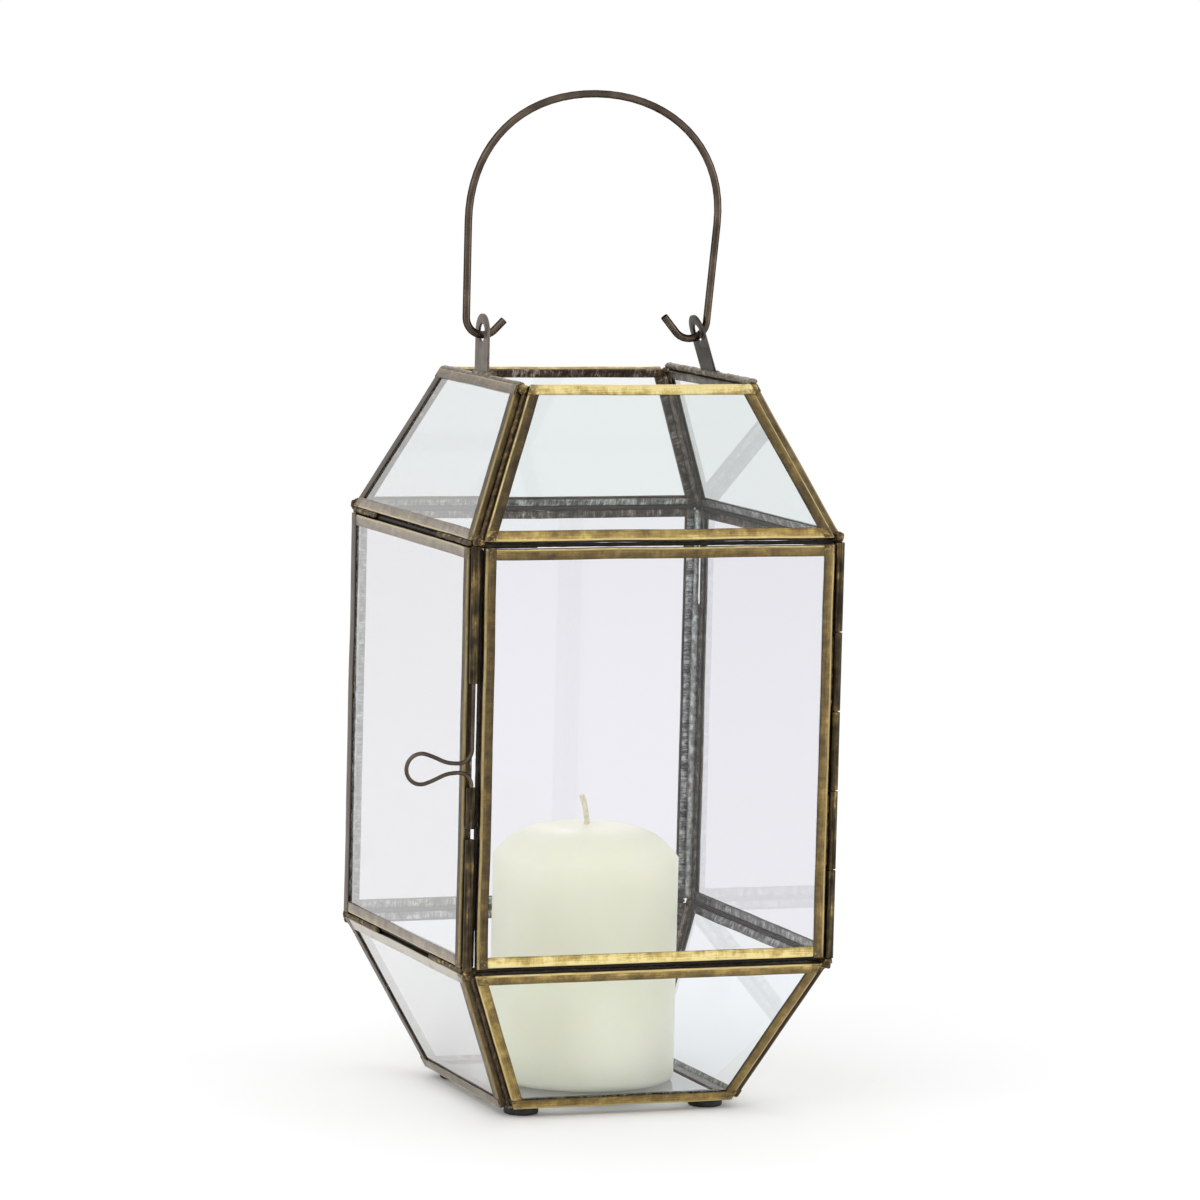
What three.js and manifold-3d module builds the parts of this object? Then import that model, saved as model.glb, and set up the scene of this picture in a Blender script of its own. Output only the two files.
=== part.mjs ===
// Candle lantern: twelve glazed wall panels and a glazed base in brass channel, soldered at the corners.
// Millimetres, +Z up, standing on its feet at z = 0. The door faces -Y.
import * as THREE from "three";
import { mergeVertices } from "three/addons/utils/BufferGeometryUtils.js";
import Module from "manifold-3d";

const wasm = await Module();
wasm.setup();

// ---------------------------------------------------------------- driving sizes

// Body: a square prism between two equal square frustums
const WAIST_HALF = 73; // outer half width of the prism
const RIM_HALF = 47; // outer half width at the open top and at the bottom
const FRUSTUM_HEIGHT = 56;
const PRISM_HEIGHT = 156;

// Channel strip that frames every pane
const CHANNEL_DEPTH = 3.2; // across the strip, through the glass
const CHANNEL_WIDTH = 4; // width of its flanges
const FLANGE_SHEET = 0.4;
const WEB_SHEET = 0.5;
const GLASS = 2;
const GLASS_EDGE_GAP = 0.3;

// How far each frame stays back from the sharp edges of the body
const UPRIGHT_INSET = 5.2;
const WAIST_INSET = 1.5;
const SLANT_INSET = 3.7;

const FIT_GAP = 0.3; // between neighbours that aren't parallel
const SOLDER_GAP = 0.1; // between a tube's solder seam and the strip it lies on

// Feet
const FOOT_RADIUS = 6.5;
const FOOT_HEIGHT = 3.5;
const FOOT_EDGE = 0.9;
const FOOT_SETBACK = 0.7; // from the edge of the base frame

// Tubes in the two front corners: hinge knuckles on the right, latch tubes on the left
const TUBE_RADIUS = 1.8;
const TUBE_BORE = 1.15;
const TUBE_INSET = 2.2; // axis to the outer faces of the prism
const SEAM_WIDTH = 1.6;
const COLUMN_END_GAP = 4.5; // end of a tube column to the waist

// Hinge
const KNUCKLE_COUNT = 5;
const KNUCKLE_GAP = 0.5;
const PIN_RADIUS = 0.85;
const PIN_END = 0.6; // how far the pin stands out of the last knuckle
const PIN_HEAD_RADIUS = 1.5;
const PIN_HEAD = 0.6;

// Latch: one wire bent to a loop, its two legs turning in tubes
const LATCH_WIRE_RADIUS = 0.75;
const LATCH_LOOP_RADIUS = 5.6;
const LATCH_LOOP_REACH = 19.3; // axis to the centre of the round end
const LATCH_NECK = 1.7; // half the distance between the two strands
const LATCH_BEND_RADIUS = 5;
const LATCH_LOOP_HEIGHT = 75; // loop above the lower waist
const LATCH_BARE_LEG = 24; // between the loop and the upper tube
const LATCH_HIDDEN_LEG = 15; // inside the upper tube
const LATCH_SLEEVE = 15;
const LATCH_SLEEVE_DROP = 0.5; // sleeve below the loop's bend
const LATCH_TUBE_GAP = 4; // between the sleeve and the lower tube

// Ears on the left and right rims
const EAR_WIDTH = 14;
const EAR_SHEET = 0.9;
const EAR_HOLE_RADIUS = 3.3;
const EAR_HOLE_HEIGHT = 16; // hole above the rim
const EAR_LEAN = THREE.MathUtils.degToRad(18); // the right ear is bent inwards

// Handle: one wire, hooked through both ears
const HANDLE_WIRE_RADIUS = 1.3;
const HANDLE_DROP = 0.9; // wire below the middle of the holes
const HANDLE_HEIGHT = 90; // crown above the pivot
const HANDLE_CROWN = 48; // height of the curved part
const HANDLE_FULLNESS = 0.6; // 0.55 is an ellipse
const HANDLE_RIGHT_ANGLE = THREE.MathUtils.degToRad(5);
const LEFT_HOOK_RADIUS = 6.6;
const LEFT_HOOK_TIP = 5;
const LEFT_HOOK_TURN = THREE.MathUtils.degToRad(45);
const RIGHT_HOOK_RADIUS = 7;
const RIGHT_HOOK_TIP = 7.5;
const RIGHT_HOOK_TURN = THREE.MathUtils.degToRad(50);
const RIGHT_HOOK_ENTRY = THREE.MathUtils.degToRad(35); // slope of the wire in the right hole

// Solder joints
const WAIST_BEAD_RADIUS = 3.2;
const WAIST_BEAD_OFFSET = 1.8; // above or below the waist
const WAIST_BEAD_PROUD = 0.4; // beyond the outer faces
const RIM_BEAD_RADIUS = 2.6;
const RIM_BEAD_DROP = 1.8; // below the rim
const RIM_BEAD_INSET = 1.8; // from the outer faces
const DOOR_CLEARANCE = 0.5;

// Candle
const CANDLE_RADIUS = 35;
const CANDLE_HEIGHT = 96;
const CANDLE_DOME = 12;
const CANDLE_FOOT_ROUND = 3;
const CANDLE_GAP = 0.1;
const WICK_RADIUS = 1.1;
const WICK_OUT = 11;
const WICK_IN = 8;
const WICK_LEAN = 2.2;

// ---------------------------------------------------------------- sizes that follow

const SLANT = Math.atan2(WAIST_HALF - RIM_HALF, FRUSTUM_HEIGHT);
const SLOPE_LENGTH = Math.hypot(WAIST_HALF - RIM_HALF, FRUSTUM_HEIGHT);
const BODY_BOTTOM = FOOT_HEIGHT;
const LOWER_WAIST = BODY_BOTTOM + FRUSTUM_HEIGHT;
const UPPER_WAIST = LOWER_WAIST + PRISM_HEIGHT;
const RIM = UPPER_WAIST + FRUSTUM_HEIGHT;

const GROOVE = CHANNEL_DEPTH - 2 * FLANGE_SHEET;
const GLASS_INSET = WEB_SHEET + GLASS_EDGE_GAP;

const DOOR_BOTTOM = LOWER_WAIST + WAIST_INSET;
const DOOR_TOP = UPPER_WAIST - WAIST_INSET;
const TUBE_AXIS = WAIST_HALF - TUBE_INSET;
const SEAM_REACH = UPRIGHT_INSET - TUBE_INSET - SOLDER_GAP;
const COLUMN_BOTTOM = LOWER_WAIST + COLUMN_END_GAP;
const COLUMN_TOP = UPPER_WAIST - COLUMN_END_GAP;

const BASE_HALF = RIM_HALF - CHANNEL_DEPTH * Math.cos(SLANT) - FIT_GAP;
const FOOT_CENTRE = BASE_HALF - FOOT_SETBACK - FOOT_RADIUS;
const FLOOR = BODY_BOTTOM + (CHANNEL_DEPTH + GLASS) / 2;

const EAR_SEAT = RIM_HALF - (CHANNEL_DEPTH / 2) * Math.cos(SLANT);
const EAR_FOOT = RIM - (CHANNEL_DEPTH / 2) * Math.sin(SLANT) + FIT_GAP;
const PIVOT = RIM + EAR_HOLE_HEIGHT - HANDLE_DROP;
const RIGHT_CROSSING = EAR_SEAT - (PIVOT - EAR_FOOT) * Math.tan(EAR_LEAN);

// ---------------------------------------------------------------- materials

const metal = (color, roughness) => new THREE.MeshStandardMaterial({ color, roughness, metalness: 1 });

const materials = {
  brass: metal(0x8c7440, 0.42),
  darkBrass: metal(0x5a4d38, 0.5),
  solder: metal(0x6b6250, 0.5),
  earSheet: metal(0x6e655b, 0.55),
  bronzeWire: metal(0x4a4034, 0.4),
  glass: new THREE.MeshStandardMaterial({
    color: 0xe4ecf0,
    roughness: 0.03,
    metalness: 0,
    transparent: true,
    opacity: 0.3,
  }),
  rubber: new THREE.MeshStandardMaterial({ color: 0x1c1c1c, roughness: 0.7, metalness: 0 }),
  wax: new THREE.MeshStandardMaterial({ color: 0xded8bc, roughness: 0.45, metalness: 0 }),
  cotton: new THREE.MeshStandardMaterial({ color: 0xe6e0cc, roughness: 0.9, metalness: 0 }),
};

// ---------------------------------------------------------------- building blocks

function named(name, geometry, material) {
  const mesh = new THREE.Mesh(geometry, material);
  mesh.name = name;
  return mesh;
}

function toSolid(geometry) {
  const bare = geometry.clone();
  bare.deleteAttribute("normal");
  bare.deleteAttribute("uv");
  const merged = mergeVertices(bare, 1e-4);
  return new wasm.Manifold(
    new wasm.Mesh({
      numProp: 3,
      vertProperties: new Float32Array(merged.attributes.position.array),
      triVerts: new Uint32Array(merged.index.array),
    }),
  );
}

function toGeometry(solid) {
  const mesh = solid.getMesh();
  const geometry = new THREE.BufferGeometry();
  geometry.setAttribute("position", new THREE.BufferAttribute(mesh.vertProperties, 3));
  geometry.setIndex(new THREE.BufferAttribute(mesh.triVerts, 1));
  geometry.computeVertexNormals();
  return geometry;
}

// A convex outline, counter-clockwise, with each edge moved inwards by its own distance.
function insetOutline(corners, insets) {
  const edges = corners.map((corner, k) => {
    const direction = corners[(k + 1) % corners.length].clone().sub(corner).normalize();
    const inward = new THREE.Vector2(-direction.y, direction.x);
    return { point: corner.clone().addScaledVector(inward, insets[k]), direction };
  });
  return edges.map((edge, k) => {
    const last = edges[(k + edges.length - 1) % edges.length];
    const across = edge.point.clone().sub(last.point);
    const along = across.cross(edge.direction) / last.direction.cross(edge.direction);
    return last.point.clone().addScaledVector(last.direction, along);
  });
}

const insetEvenly = (corners, inset) =>
  insetOutline(
    corners,
    corners.map(() => inset),
  );

// A flat plate on an outline: its outer face is at height 0 and its depth runs inwards.
function plate(corners, depth, top = 0) {
  const geometry = new THREE.ExtrudeGeometry(new THREE.Shape(corners), { depth, bevelEnabled: false });
  return geometry.translate(0, 0, top - depth);
}

// A closed ring of channel strip: a plate ring with the groove for the glass cut out of it.
function channelRing(corners) {
  const body = new THREE.Shape(corners);
  body.holes.push(new THREE.Path(insetEvenly(corners, CHANNEL_WIDTH)));
  const ring = new THREE.ExtrudeGeometry(body, { depth: CHANNEL_DEPTH, bevelEnabled: false });
  ring.translate(0, 0, -CHANNEL_DEPTH);
  const groove = plate(insetEvenly(corners, WEB_SHEET), GROOVE, -FLANGE_SHEET);
  return toGeometry(toSolid(ring).subtract(toSolid(groove)));
}

function pane(corners) {
  return plate(insetEvenly(corners, GLASS_INSET), GLASS, (GLASS - CHANNEL_DEPTH) / 2);
}

function frustumOutline() {
  const full = [
    new THREE.Vector2(-WAIST_HALF, 0),
    new THREE.Vector2(WAIST_HALF, 0),
    new THREE.Vector2(RIM_HALF, SLOPE_LENGTH),
    new THREE.Vector2(-RIM_HALF, SLOPE_LENGTH),
  ];
  return insetOutline(full, [WAIST_INSET, SLANT_INSET, 0, SLANT_INSET]);
}

function prismOutline() {
  const half = WAIST_HALF - UPRIGHT_INSET;
  return [
    new THREE.Vector2(-half, WAIST_INSET),
    new THREE.Vector2(half, WAIST_INSET),
    new THREE.Vector2(half, PRISM_HEIGHT - WAIST_INSET),
    new THREE.Vector2(-half, PRISM_HEIGHT - WAIST_INSET),
  ];
}

// The three levels of a wall. A panel is drawn flat with the waist at height 0 and tilted about that edge.
// A lower panel is the upper one turned upside down, and drawn the other way round to keep its outer face out.
const frustum = frustumOutline();
const levels = {
  upper: { outline: frustum, edge: UPPER_WAIST, tilt: Math.PI / 2 - SLANT },
  middle: { outline: prismOutline(), edge: LOWER_WAIST, tilt: Math.PI / 2 },
  lower: {
    outline: frustum.map((corner) => new THREE.Vector2(corner.x, -corner.y)).reverse(),
    edge: LOWER_WAIST,
    tilt: Math.PI / 2 + SLANT,
  },
};

const sides = ["front", "right", "back", "left"];

// Where a panel of one level and side stands in the lantern.
function panelMatrix(level, side) {
  const place = new THREE.Matrix4().makeRotationZ((sides.indexOf(side) * Math.PI) / 2);
  place.multiply(new THREE.Matrix4().makeTranslation(0, -WAIST_HALF, levels[level].edge));
  place.multiply(new THREE.Matrix4().makeRotationX(levels[level].tilt));
  return place;
}

// A straight run of tube with a solder seam that reaches from the tube towards +X.
function tubeWithSeam(length) {
  const half = SEAM_WIDTH / 2;
  const start = Math.asin(half / TUBE_RADIUS);
  const section = new THREE.Shape();
  section.moveTo(SEAM_REACH, -half);
  section.lineTo(SEAM_REACH, half);
  section.lineTo(TUBE_RADIUS * Math.cos(start), half);
  section.absarc(0, 0, TUBE_RADIUS, start, 2 * Math.PI - start, false);
  section.closePath();
  const bore = new THREE.Path();
  bore.absarc(0, 0, TUBE_BORE, 0, 2 * Math.PI, false);
  section.holes.push(bore);
  return new THREE.ExtrudeGeometry(section, { depth: length, bevelEnabled: false, curveSegments: 16 });
}

// An arc in the XZ plane, from one angle to another, counted from +X towards +Z.
class Arc extends THREE.Curve {
  constructor(centre, radius, from, to) {
    super();
    Object.assign(this, { centre, radius, from, to });
  }
  getPoint(t, target = new THREE.Vector3()) {
    const angle = this.from + (this.to - this.from) * t;
    target.set(Math.cos(angle), 0, Math.sin(angle));
    return target.multiplyScalar(this.radius).add(this.centre);
  }
}

const inPlane = (x, z) => new THREE.Vector3(x, 0, z);

function wire(curves, radius, step, sidesOfSection) {
  const path = new THREE.CurvePath();
  curves.forEach((curve) => path.add(curve));
  const section = new THREE.Shape();
  for (let k = 0; k < sidesOfSection; k += 1) {
    const angle = (2 * Math.PI * k) / sidesOfSection;
    const x = radius * Math.cos(angle);
    const y = radius * Math.sin(angle);
    if (k === 0) section.moveTo(x, y);
    else section.lineTo(x, y);
  }
  section.closePath();
  const steps = Math.ceil(path.getLength() / step);
  return new THREE.ExtrudeGeometry(section, { steps, extrudePath: path, bevelEnabled: false });
}

// ---------------------------------------------------------------- walls

const lantern = new THREE.Group();

function placed(mesh, matrix) {
  mesh.applyMatrix4(matrix);
  return mesh;
}

// The frame and the pane of one wall panel. The front middle panel is the door.
function wallPanel(level, side) {
  const name = level === "middle" && side === "front" ? "door" : `${level}_${side}`;
  const { outline } = levels[level];
  const place = panelMatrix(level, side);
  lantern.add(placed(named(`${name}_frame`, channelRing(outline), materials.brass), place));
  lantern.add(placed(named(`${name}_pane`, pane(outline), materials.glass), place));
}

function addWalls() {
  for (const level of Object.keys(levels)) {
    for (const side of sides) wallPanel(level, side);
  }
}

// The base lies between the lower walls, flush with their bottom edges.
function addBase() {
  const outline = [
    new THREE.Vector2(-BASE_HALF, -BASE_HALF),
    new THREE.Vector2(BASE_HALF, -BASE_HALF),
    new THREE.Vector2(BASE_HALF, BASE_HALF),
    new THREE.Vector2(-BASE_HALF, BASE_HALF),
  ];
  const place = new THREE.Matrix4().makeTranslation(0, 0, BODY_BOTTOM + CHANNEL_DEPTH);
  lantern.add(placed(named("base_frame", channelRing(outline), materials.darkBrass), place));
  lantern.add(placed(named("base_pane", pane(outline), materials.glass), place));
}

// Round bumpers glued under the corners of the base.
function addFeet() {
  const corners = { front_left: [-1, -1], front_right: [1, -1], back_right: [1, 1], back_left: [-1, 1] };
  const profile = [
    new THREE.Vector2(0, 0),
    new THREE.Vector2(FOOT_RADIUS - FOOT_EDGE, 0),
    new THREE.Vector2(FOOT_RADIUS - FOOT_EDGE * (1 - Math.SQRT1_2), FOOT_EDGE * (1 - Math.SQRT1_2)),
    new THREE.Vector2(FOOT_RADIUS, FOOT_EDGE),
    new THREE.Vector2(FOOT_RADIUS, FOOT_HEIGHT),
    new THREE.Vector2(0, FOOT_HEIGHT),
  ];
  for (const [corner, [x, y]] of Object.entries(corners)) {
    const foot = named(`foot_${corner}`, new THREE.LatheGeometry(profile, 32), materials.rubber);
    foot.rotation.x = Math.PI / 2;
    foot.position.set(x * FOOT_CENTRE, y * FOOT_CENTRE, 0);
    lantern.add(foot);
  }
}

// ---------------------------------------------------------------- solder joints

// What a solder bead has to leave free: a panel's full plate, a little larger all round.
function keepOut(level, side) {
  const grown = insetEvenly(levels[level].outline, -FIT_GAP);
  const geometry = plate(grown, CHANNEL_DEPTH + 2 * FIT_GAP, FIT_GAP);
  return toSolid(geometry.applyMatrix4(panelMatrix(level, side)));
}

// A bead keeps only its largest part, because solder that a frame cuts off isn't there.
function bead(name, centre, radius, stretch, obstacles) {
  const ball = new THREE.SphereGeometry(radius, 20, 14);
  ball.scale(1, 1, stretch).translate(centre.x, centre.y, centre.z);
  const cut = obstacles.reduce((rest, obstacle) => rest.subtract(obstacle), toSolid(ball));
  const parts = cut.decompose().sort((a, b) => b.volume() - a.volume());
  return named(name, toGeometry(parts[0]), materials.solder);
}

// The height that the door takes up as it turns: the front beads stay out of it.
function doorSpace() {
  const height = DOOR_TOP - DOOR_BOTTOM + 2 * DOOR_CLEARANCE;
  const space = new THREE.BoxGeometry(4 * WAIST_HALF, 2 * WAIST_HALF, height);
  space.translate(0, -WAIST_HALF, (DOOR_TOP + DOOR_BOTTOM) / 2);
  return toSolid(space);
}

function addSolder() {
  const waistReach = WAIST_HALF + WAIST_BEAD_PROUD - WAIST_BEAD_RADIUS;
  const rimReach = RIM_HALF - RIM_BEAD_INSET;
  const waists = {
    upper: UPPER_WAIST + WAIST_BEAD_OFFSET,
    lower: LOWER_WAIST - WAIST_BEAD_OFFSET,
  };
  sides.forEach((side, k) => {
    const next = sides[(k + 1) % sides.length];
    const turn = new THREE.Matrix4().makeRotationZ((k * Math.PI) / 2);
    const corner = side === "front" || side === "back" ? `${side}_${next}` : `${next}_${side}`;
    const nearDoor = side === "front" || next === "front";
    for (const [waist, height] of Object.entries(waists)) {
      const centre = new THREE.Vector3(waistReach, -waistReach, height).applyMatrix4(turn);
      const obstacles = [keepOut(waist, side), keepOut(waist, next)];
      obstacles.push(keepOut("middle", side), keepOut("middle", next));
      if (nearDoor) obstacles.push(doorSpace());
      lantern.add(bead(`solder_${waist}_${corner}`, centre, WAIST_BEAD_RADIUS, 1, obstacles));
    }
    const rimCentre = new THREE.Vector3(rimReach, -rimReach, RIM - RIM_BEAD_DROP).applyMatrix4(turn);
    const rims = [keepOut("upper", side), keepOut("upper", next)];
    lantern.add(bead(`solder_rim_${corner}`, rimCentre, RIM_BEAD_RADIUS, 1, rims));
  });
}

// ---------------------------------------------------------------- hinge and latch

// Tubes stand upright in a front corner. A seam that faces +X turned by a quarter faces +Y.
function cornerTube(name, side, seamAngle, from, to) {
  const tube = named(name, tubeWithSeam(to - from), materials.darkBrass);
  tube.rotation.z = seamAngle;
  tube.position.set(side * TUBE_AXIS, -TUBE_AXIS, from);
  return tube;
}

const SEAM_TO_SIDE_WALL = Math.PI / 2;
const SEAM_TO_DOOR = Math.PI;

function addHinge() {
  const pitch = (COLUMN_TOP - COLUMN_BOTTOM + KNUCKLE_GAP) / KNUCKLE_COUNT;
  for (let k = 0; k < KNUCKLE_COUNT; k += 1) {
    const onDoor = k % 2 === 1;
    const from = COLUMN_BOTTOM + k * pitch;
    const name = `${onDoor ? "door" : "fixed"}_knuckle_${k + 1}`;
    const seam = onDoor ? SEAM_TO_DOOR : SEAM_TO_SIDE_WALL;
    lantern.add(cornerTube(name, 1, seam, from, from + pitch - KNUCKLE_GAP));
  }
  const shank = COLUMN_BOTTOM - PIN_END;
  const shoulder = COLUMN_TOP + SOLDER_GAP;
  const pin = new THREE.LatheGeometry(
    [
      new THREE.Vector2(0, shank),
      new THREE.Vector2(PIN_RADIUS, shank),
      new THREE.Vector2(PIN_RADIUS, shoulder),
      new THREE.Vector2(PIN_HEAD_RADIUS, shoulder),
      new THREE.Vector2(PIN_HEAD_RADIUS, shoulder + PIN_HEAD),
      new THREE.Vector2(0, shoulder + PIN_HEAD),
    ],
    16,
  );
  const mesh = named("hinge_pin", pin, materials.bronzeWire);
  mesh.rotation.x = Math.PI / 2;
  mesh.position.set(TUBE_AXIS, -TUBE_AXIS, 0);
  lantern.add(mesh);
}

// The latch wire, drawn from its upper leg to its lower leg: outwards is +X, and the loop's middle is z = 0.
function latchCurves() {
  const bendZ = LATCH_NECK + LATCH_BEND_RADIUS;
  const meet = THREE.MathUtils.degToRad(107);
  const round = inPlane(LATCH_LOOP_REACH, 0);
  const onRound = inPlane(
    round.x + LATCH_LOOP_RADIUS * Math.cos(meet),
    LATCH_LOOP_RADIUS * Math.sin(meet),
  );
  const heading = inPlane(Math.sin(meet), -Math.cos(meet));
  const neck = inPlane(LATCH_BEND_RADIUS, LATCH_NECK);
  const pull = (onRound.x - neck.x) / 2;
  const strand = [
    neck,
    inPlane(neck.x + pull, neck.z),
    onRound.clone().addScaledVector(heading, -pull),
    onRound,
  ];
  const mirrored = strand.map((p) => inPlane(p.x, -p.z)).reverse();
  const upperEnd = bendZ + LATCH_BARE_LEG + LATCH_HIDDEN_LEG;
  const lowerEnd = -bendZ - LATCH_SLEEVE_DROP - LATCH_SLEEVE;
  return [
    new THREE.LineCurve3(inPlane(0, upperEnd), inPlane(0, bendZ)),
    new Arc(inPlane(LATCH_BEND_RADIUS, bendZ), LATCH_BEND_RADIUS, Math.PI, 1.5 * Math.PI),
    new THREE.CubicBezierCurve3(...strand),
    new Arc(round, LATCH_LOOP_RADIUS, meet, -meet),
    new THREE.CubicBezierCurve3(...mirrored),
    new Arc(inPlane(LATCH_BEND_RADIUS, -bendZ), LATCH_BEND_RADIUS, Math.PI / 2, Math.PI),
    new THREE.LineCurve3(inPlane(0, -bendZ), inPlane(0, lowerEnd)),
  ];
}

function addLatch() {
  const loop = LOWER_WAIST + LATCH_LOOP_HEIGHT;
  const bend = LATCH_NECK + LATCH_BEND_RADIUS;
  const upperFrom = loop + bend + LATCH_BARE_LEG;
  const sleeveTo = loop - bend - LATCH_SLEEVE_DROP;
  const sleeveFrom = sleeveTo - LATCH_SLEEVE;
  const lowerTo = sleeveFrom - LATCH_TUBE_GAP;
  lantern.add(cornerTube("latch_upper_tube", -1, SEAM_TO_SIDE_WALL, upperFrom, COLUMN_TOP));
  lantern.add(cornerTube("latch_sleeve", -1, SEAM_TO_SIDE_WALL, sleeveFrom, sleeveTo));
  lantern.add(cornerTube("latch_lower_tube", -1, SEAM_TO_SIDE_WALL, COLUMN_BOTTOM, lowerTo));
  const latch = named("latch_wire", wire(latchCurves(), LATCH_WIRE_RADIUS, 1.1, 8), materials.bronzeWire);
  latch.rotation.z = Math.PI;
  latch.position.set(-TUBE_AXIS, -TUBE_AXIS, loop);
  lantern.add(latch);
}

// ---------------------------------------------------------------- ears and handle

// A flat ear with a round top about its hole, its foot at the origin and its sheet across X.
function ear(name, holeHeight) {
  const half = EAR_WIDTH / 2;
  const outline = new THREE.Shape();
  outline.moveTo(-half, 0);
  outline.lineTo(half, 0);
  outline.lineTo(half, holeHeight);
  outline.absarc(0, holeHeight, half, 0, Math.PI, false);
  outline.closePath();
  const hole = new THREE.Path();
  hole.absarc(0, holeHeight, EAR_HOLE_RADIUS, 0, 2 * Math.PI, false);
  outline.holes.push(hole);
  const settings = { depth: EAR_SHEET, bevelEnabled: false, curveSegments: 20 };
  const sheet = new THREE.ExtrudeGeometry(outline, settings);
  sheet.translate(0, 0, -EAR_SHEET / 2).rotateX(Math.PI / 2).rotateZ(Math.PI / 2);
  return named(name, sheet, materials.earSheet);
}

function addEars() {
  const holeHeight = PIVOT + HANDLE_DROP - EAR_FOOT;
  const left = ear("ear_left", holeHeight);
  left.position.set(-EAR_SEAT, 0, EAR_FOOT);
  const right = ear("ear_right", holeHeight / Math.cos(EAR_LEAN));
  right.rotation.y = -EAR_LEAN;
  right.position.set(EAR_SEAT, 0, EAR_FOOT);
  lantern.add(left, right);
}

// The handle wire, from the tip of its left hook over the crown to the tip of its right hook.
// Both hooks cross their ear at the pivot's height, so the handle turns about one line.
function handleCurves() {
  const left = inPlane(-EAR_SEAT, PIVOT + LEFT_HOOK_RADIUS);
  const leftEnd = new Arc(left, LEFT_HOOK_RADIUS, LEFT_HOOK_TURN - Math.PI / 2, -Math.PI);
  const leftStart = leftEnd.getPoint(0);
  const leftTip = inPlane(Math.cos(LEFT_HOOK_TURN), Math.sin(LEFT_HOOK_TURN));
  leftTip.multiplyScalar(LEFT_HOOK_TIP).add(leftStart);
  const leftLeg = leftEnd.getPoint(1);

  const right = inPlane(
    RIGHT_CROSSING - RIGHT_HOOK_RADIUS * Math.sin(RIGHT_HOOK_ENTRY),
    PIVOT + RIGHT_HOOK_RADIUS * Math.cos(RIGHT_HOOK_ENTRY),
  );
  const lowest = -Math.PI / 2;
  const rightEnd = new Arc(right, RIGHT_HOOK_RADIUS, -HANDLE_RIGHT_ANGLE, lowest - RIGHT_HOOK_TURN);
  const rightStop = rightEnd.getPoint(1);
  const rightTip = inPlane(-Math.cos(RIGHT_HOOK_TURN), Math.sin(RIGHT_HOOK_TURN));
  rightTip.multiplyScalar(RIGHT_HOOK_TIP).add(rightStop);
  const rightLeg = rightEnd.getPoint(0);

  const top = PIVOT + HANDLE_HEIGHT;
  const spring = top - HANDLE_CROWN;
  const leftSpring = inPlane(leftLeg.x, spring);
  const lean = inPlane(Math.sin(HANDLE_RIGHT_ANGLE), Math.cos(HANDLE_RIGHT_ANGLE));
  const rightSpring = rightLeg.clone().addScaledVector(lean, (spring - rightLeg.z) / lean.z);
  const apex = inPlane((leftSpring.x + rightSpring.x) / 2, top);
  const rise = HANDLE_FULLNESS * HANDLE_CROWN;
  const reach = HANDLE_FULLNESS * (apex.x - leftSpring.x);
  return [
    new THREE.LineCurve3(leftTip, leftStart),
    leftEnd,
    new THREE.LineCurve3(leftLeg, leftSpring),
    new THREE.CubicBezierCurve3(
      leftSpring,
      inPlane(leftSpring.x, spring + rise),
      inPlane(apex.x - reach, top),
      apex,
    ),
    new THREE.CubicBezierCurve3(
      apex,
      inPlane(apex.x + reach, top),
      rightSpring.clone().addScaledVector(lean, rise),
      rightSpring,
    ),
    new THREE.LineCurve3(rightSpring, rightLeg),
    rightEnd,
    new THREE.LineCurve3(rightStop, rightTip),
  ];
}

function addHandle() {
  lantern.add(named("handle", wire(handleCurves(), HANDLE_WIRE_RADIUS, 2, 10), materials.bronzeWire));
}

// ---------------------------------------------------------------- candle

// A pillar candle with a softened foot and a domed top, bored for its wick.
function addCandle() {
  const bore = WICK_RADIUS + FIT_GAP;
  const dome = (radius) => CANDLE_HEIGHT - CANDLE_DOME * (radius / CANDLE_RADIUS) ** 4;
  const profile = [new THREE.Vector2(0, 0)];
  for (let k = 0; k <= 4; k += 1) {
    const angle = (k * Math.PI) / 8;
    profile.push(
      new THREE.Vector2(
        CANDLE_RADIUS - CANDLE_FOOT_ROUND * (1 - Math.sin(angle)),
        CANDLE_FOOT_ROUND * (1 - Math.cos(angle)),
      ),
    );
  }
  const rings = 10;
  for (let k = 0; k <= rings; k += 1) {
    const radius = bore + (CANDLE_RADIUS - bore) * Math.sqrt(1 - k / rings);
    profile.push(new THREE.Vector2(radius, dome(radius)));
  }
  profile.push(new THREE.Vector2(bore, CANDLE_HEIGHT - WICK_IN));
  profile.push(new THREE.Vector2(0, CANDLE_HEIGHT - WICK_IN));
  const wax = named("candle", new THREE.LatheGeometry(profile, 48), materials.wax);
  wax.rotation.x = Math.PI / 2;
  wax.position.z = FLOOR + CANDLE_GAP;
  lantern.add(wax);

  const foot = FLOOR + CANDLE_GAP + CANDLE_HEIGHT - WICK_IN + SOLDER_GAP;
  const mouth = foot + WICK_IN;
  const curves = [
    new THREE.LineCurve3(inPlane(0, foot), inPlane(0, mouth)),
    new THREE.QuadraticBezierCurve3(
      inPlane(0, mouth),
      inPlane(0, mouth + WICK_OUT / 2),
      inPlane(-WICK_LEAN, mouth + WICK_OUT),
    ),
  ];
  lantern.add(named("wick", wire(curves, WICK_RADIUS, 1.5, 8), materials.cotton));
}

addWalls();
addBase();
addFeet();
addSolder();
addHinge();
addLatch();
addEars();
addHandle();
addCandle();

// The finished lantern stands with the middle of its overall width over the origin.
const extent = new THREE.Box3().setFromObject(lantern);
lantern.position.x = -(extent.min.x + extent.max.x) / 2;

export default lantern;
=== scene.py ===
import math
import random

import bmesh
import bpy
from mathutils import Matrix, Vector


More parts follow.
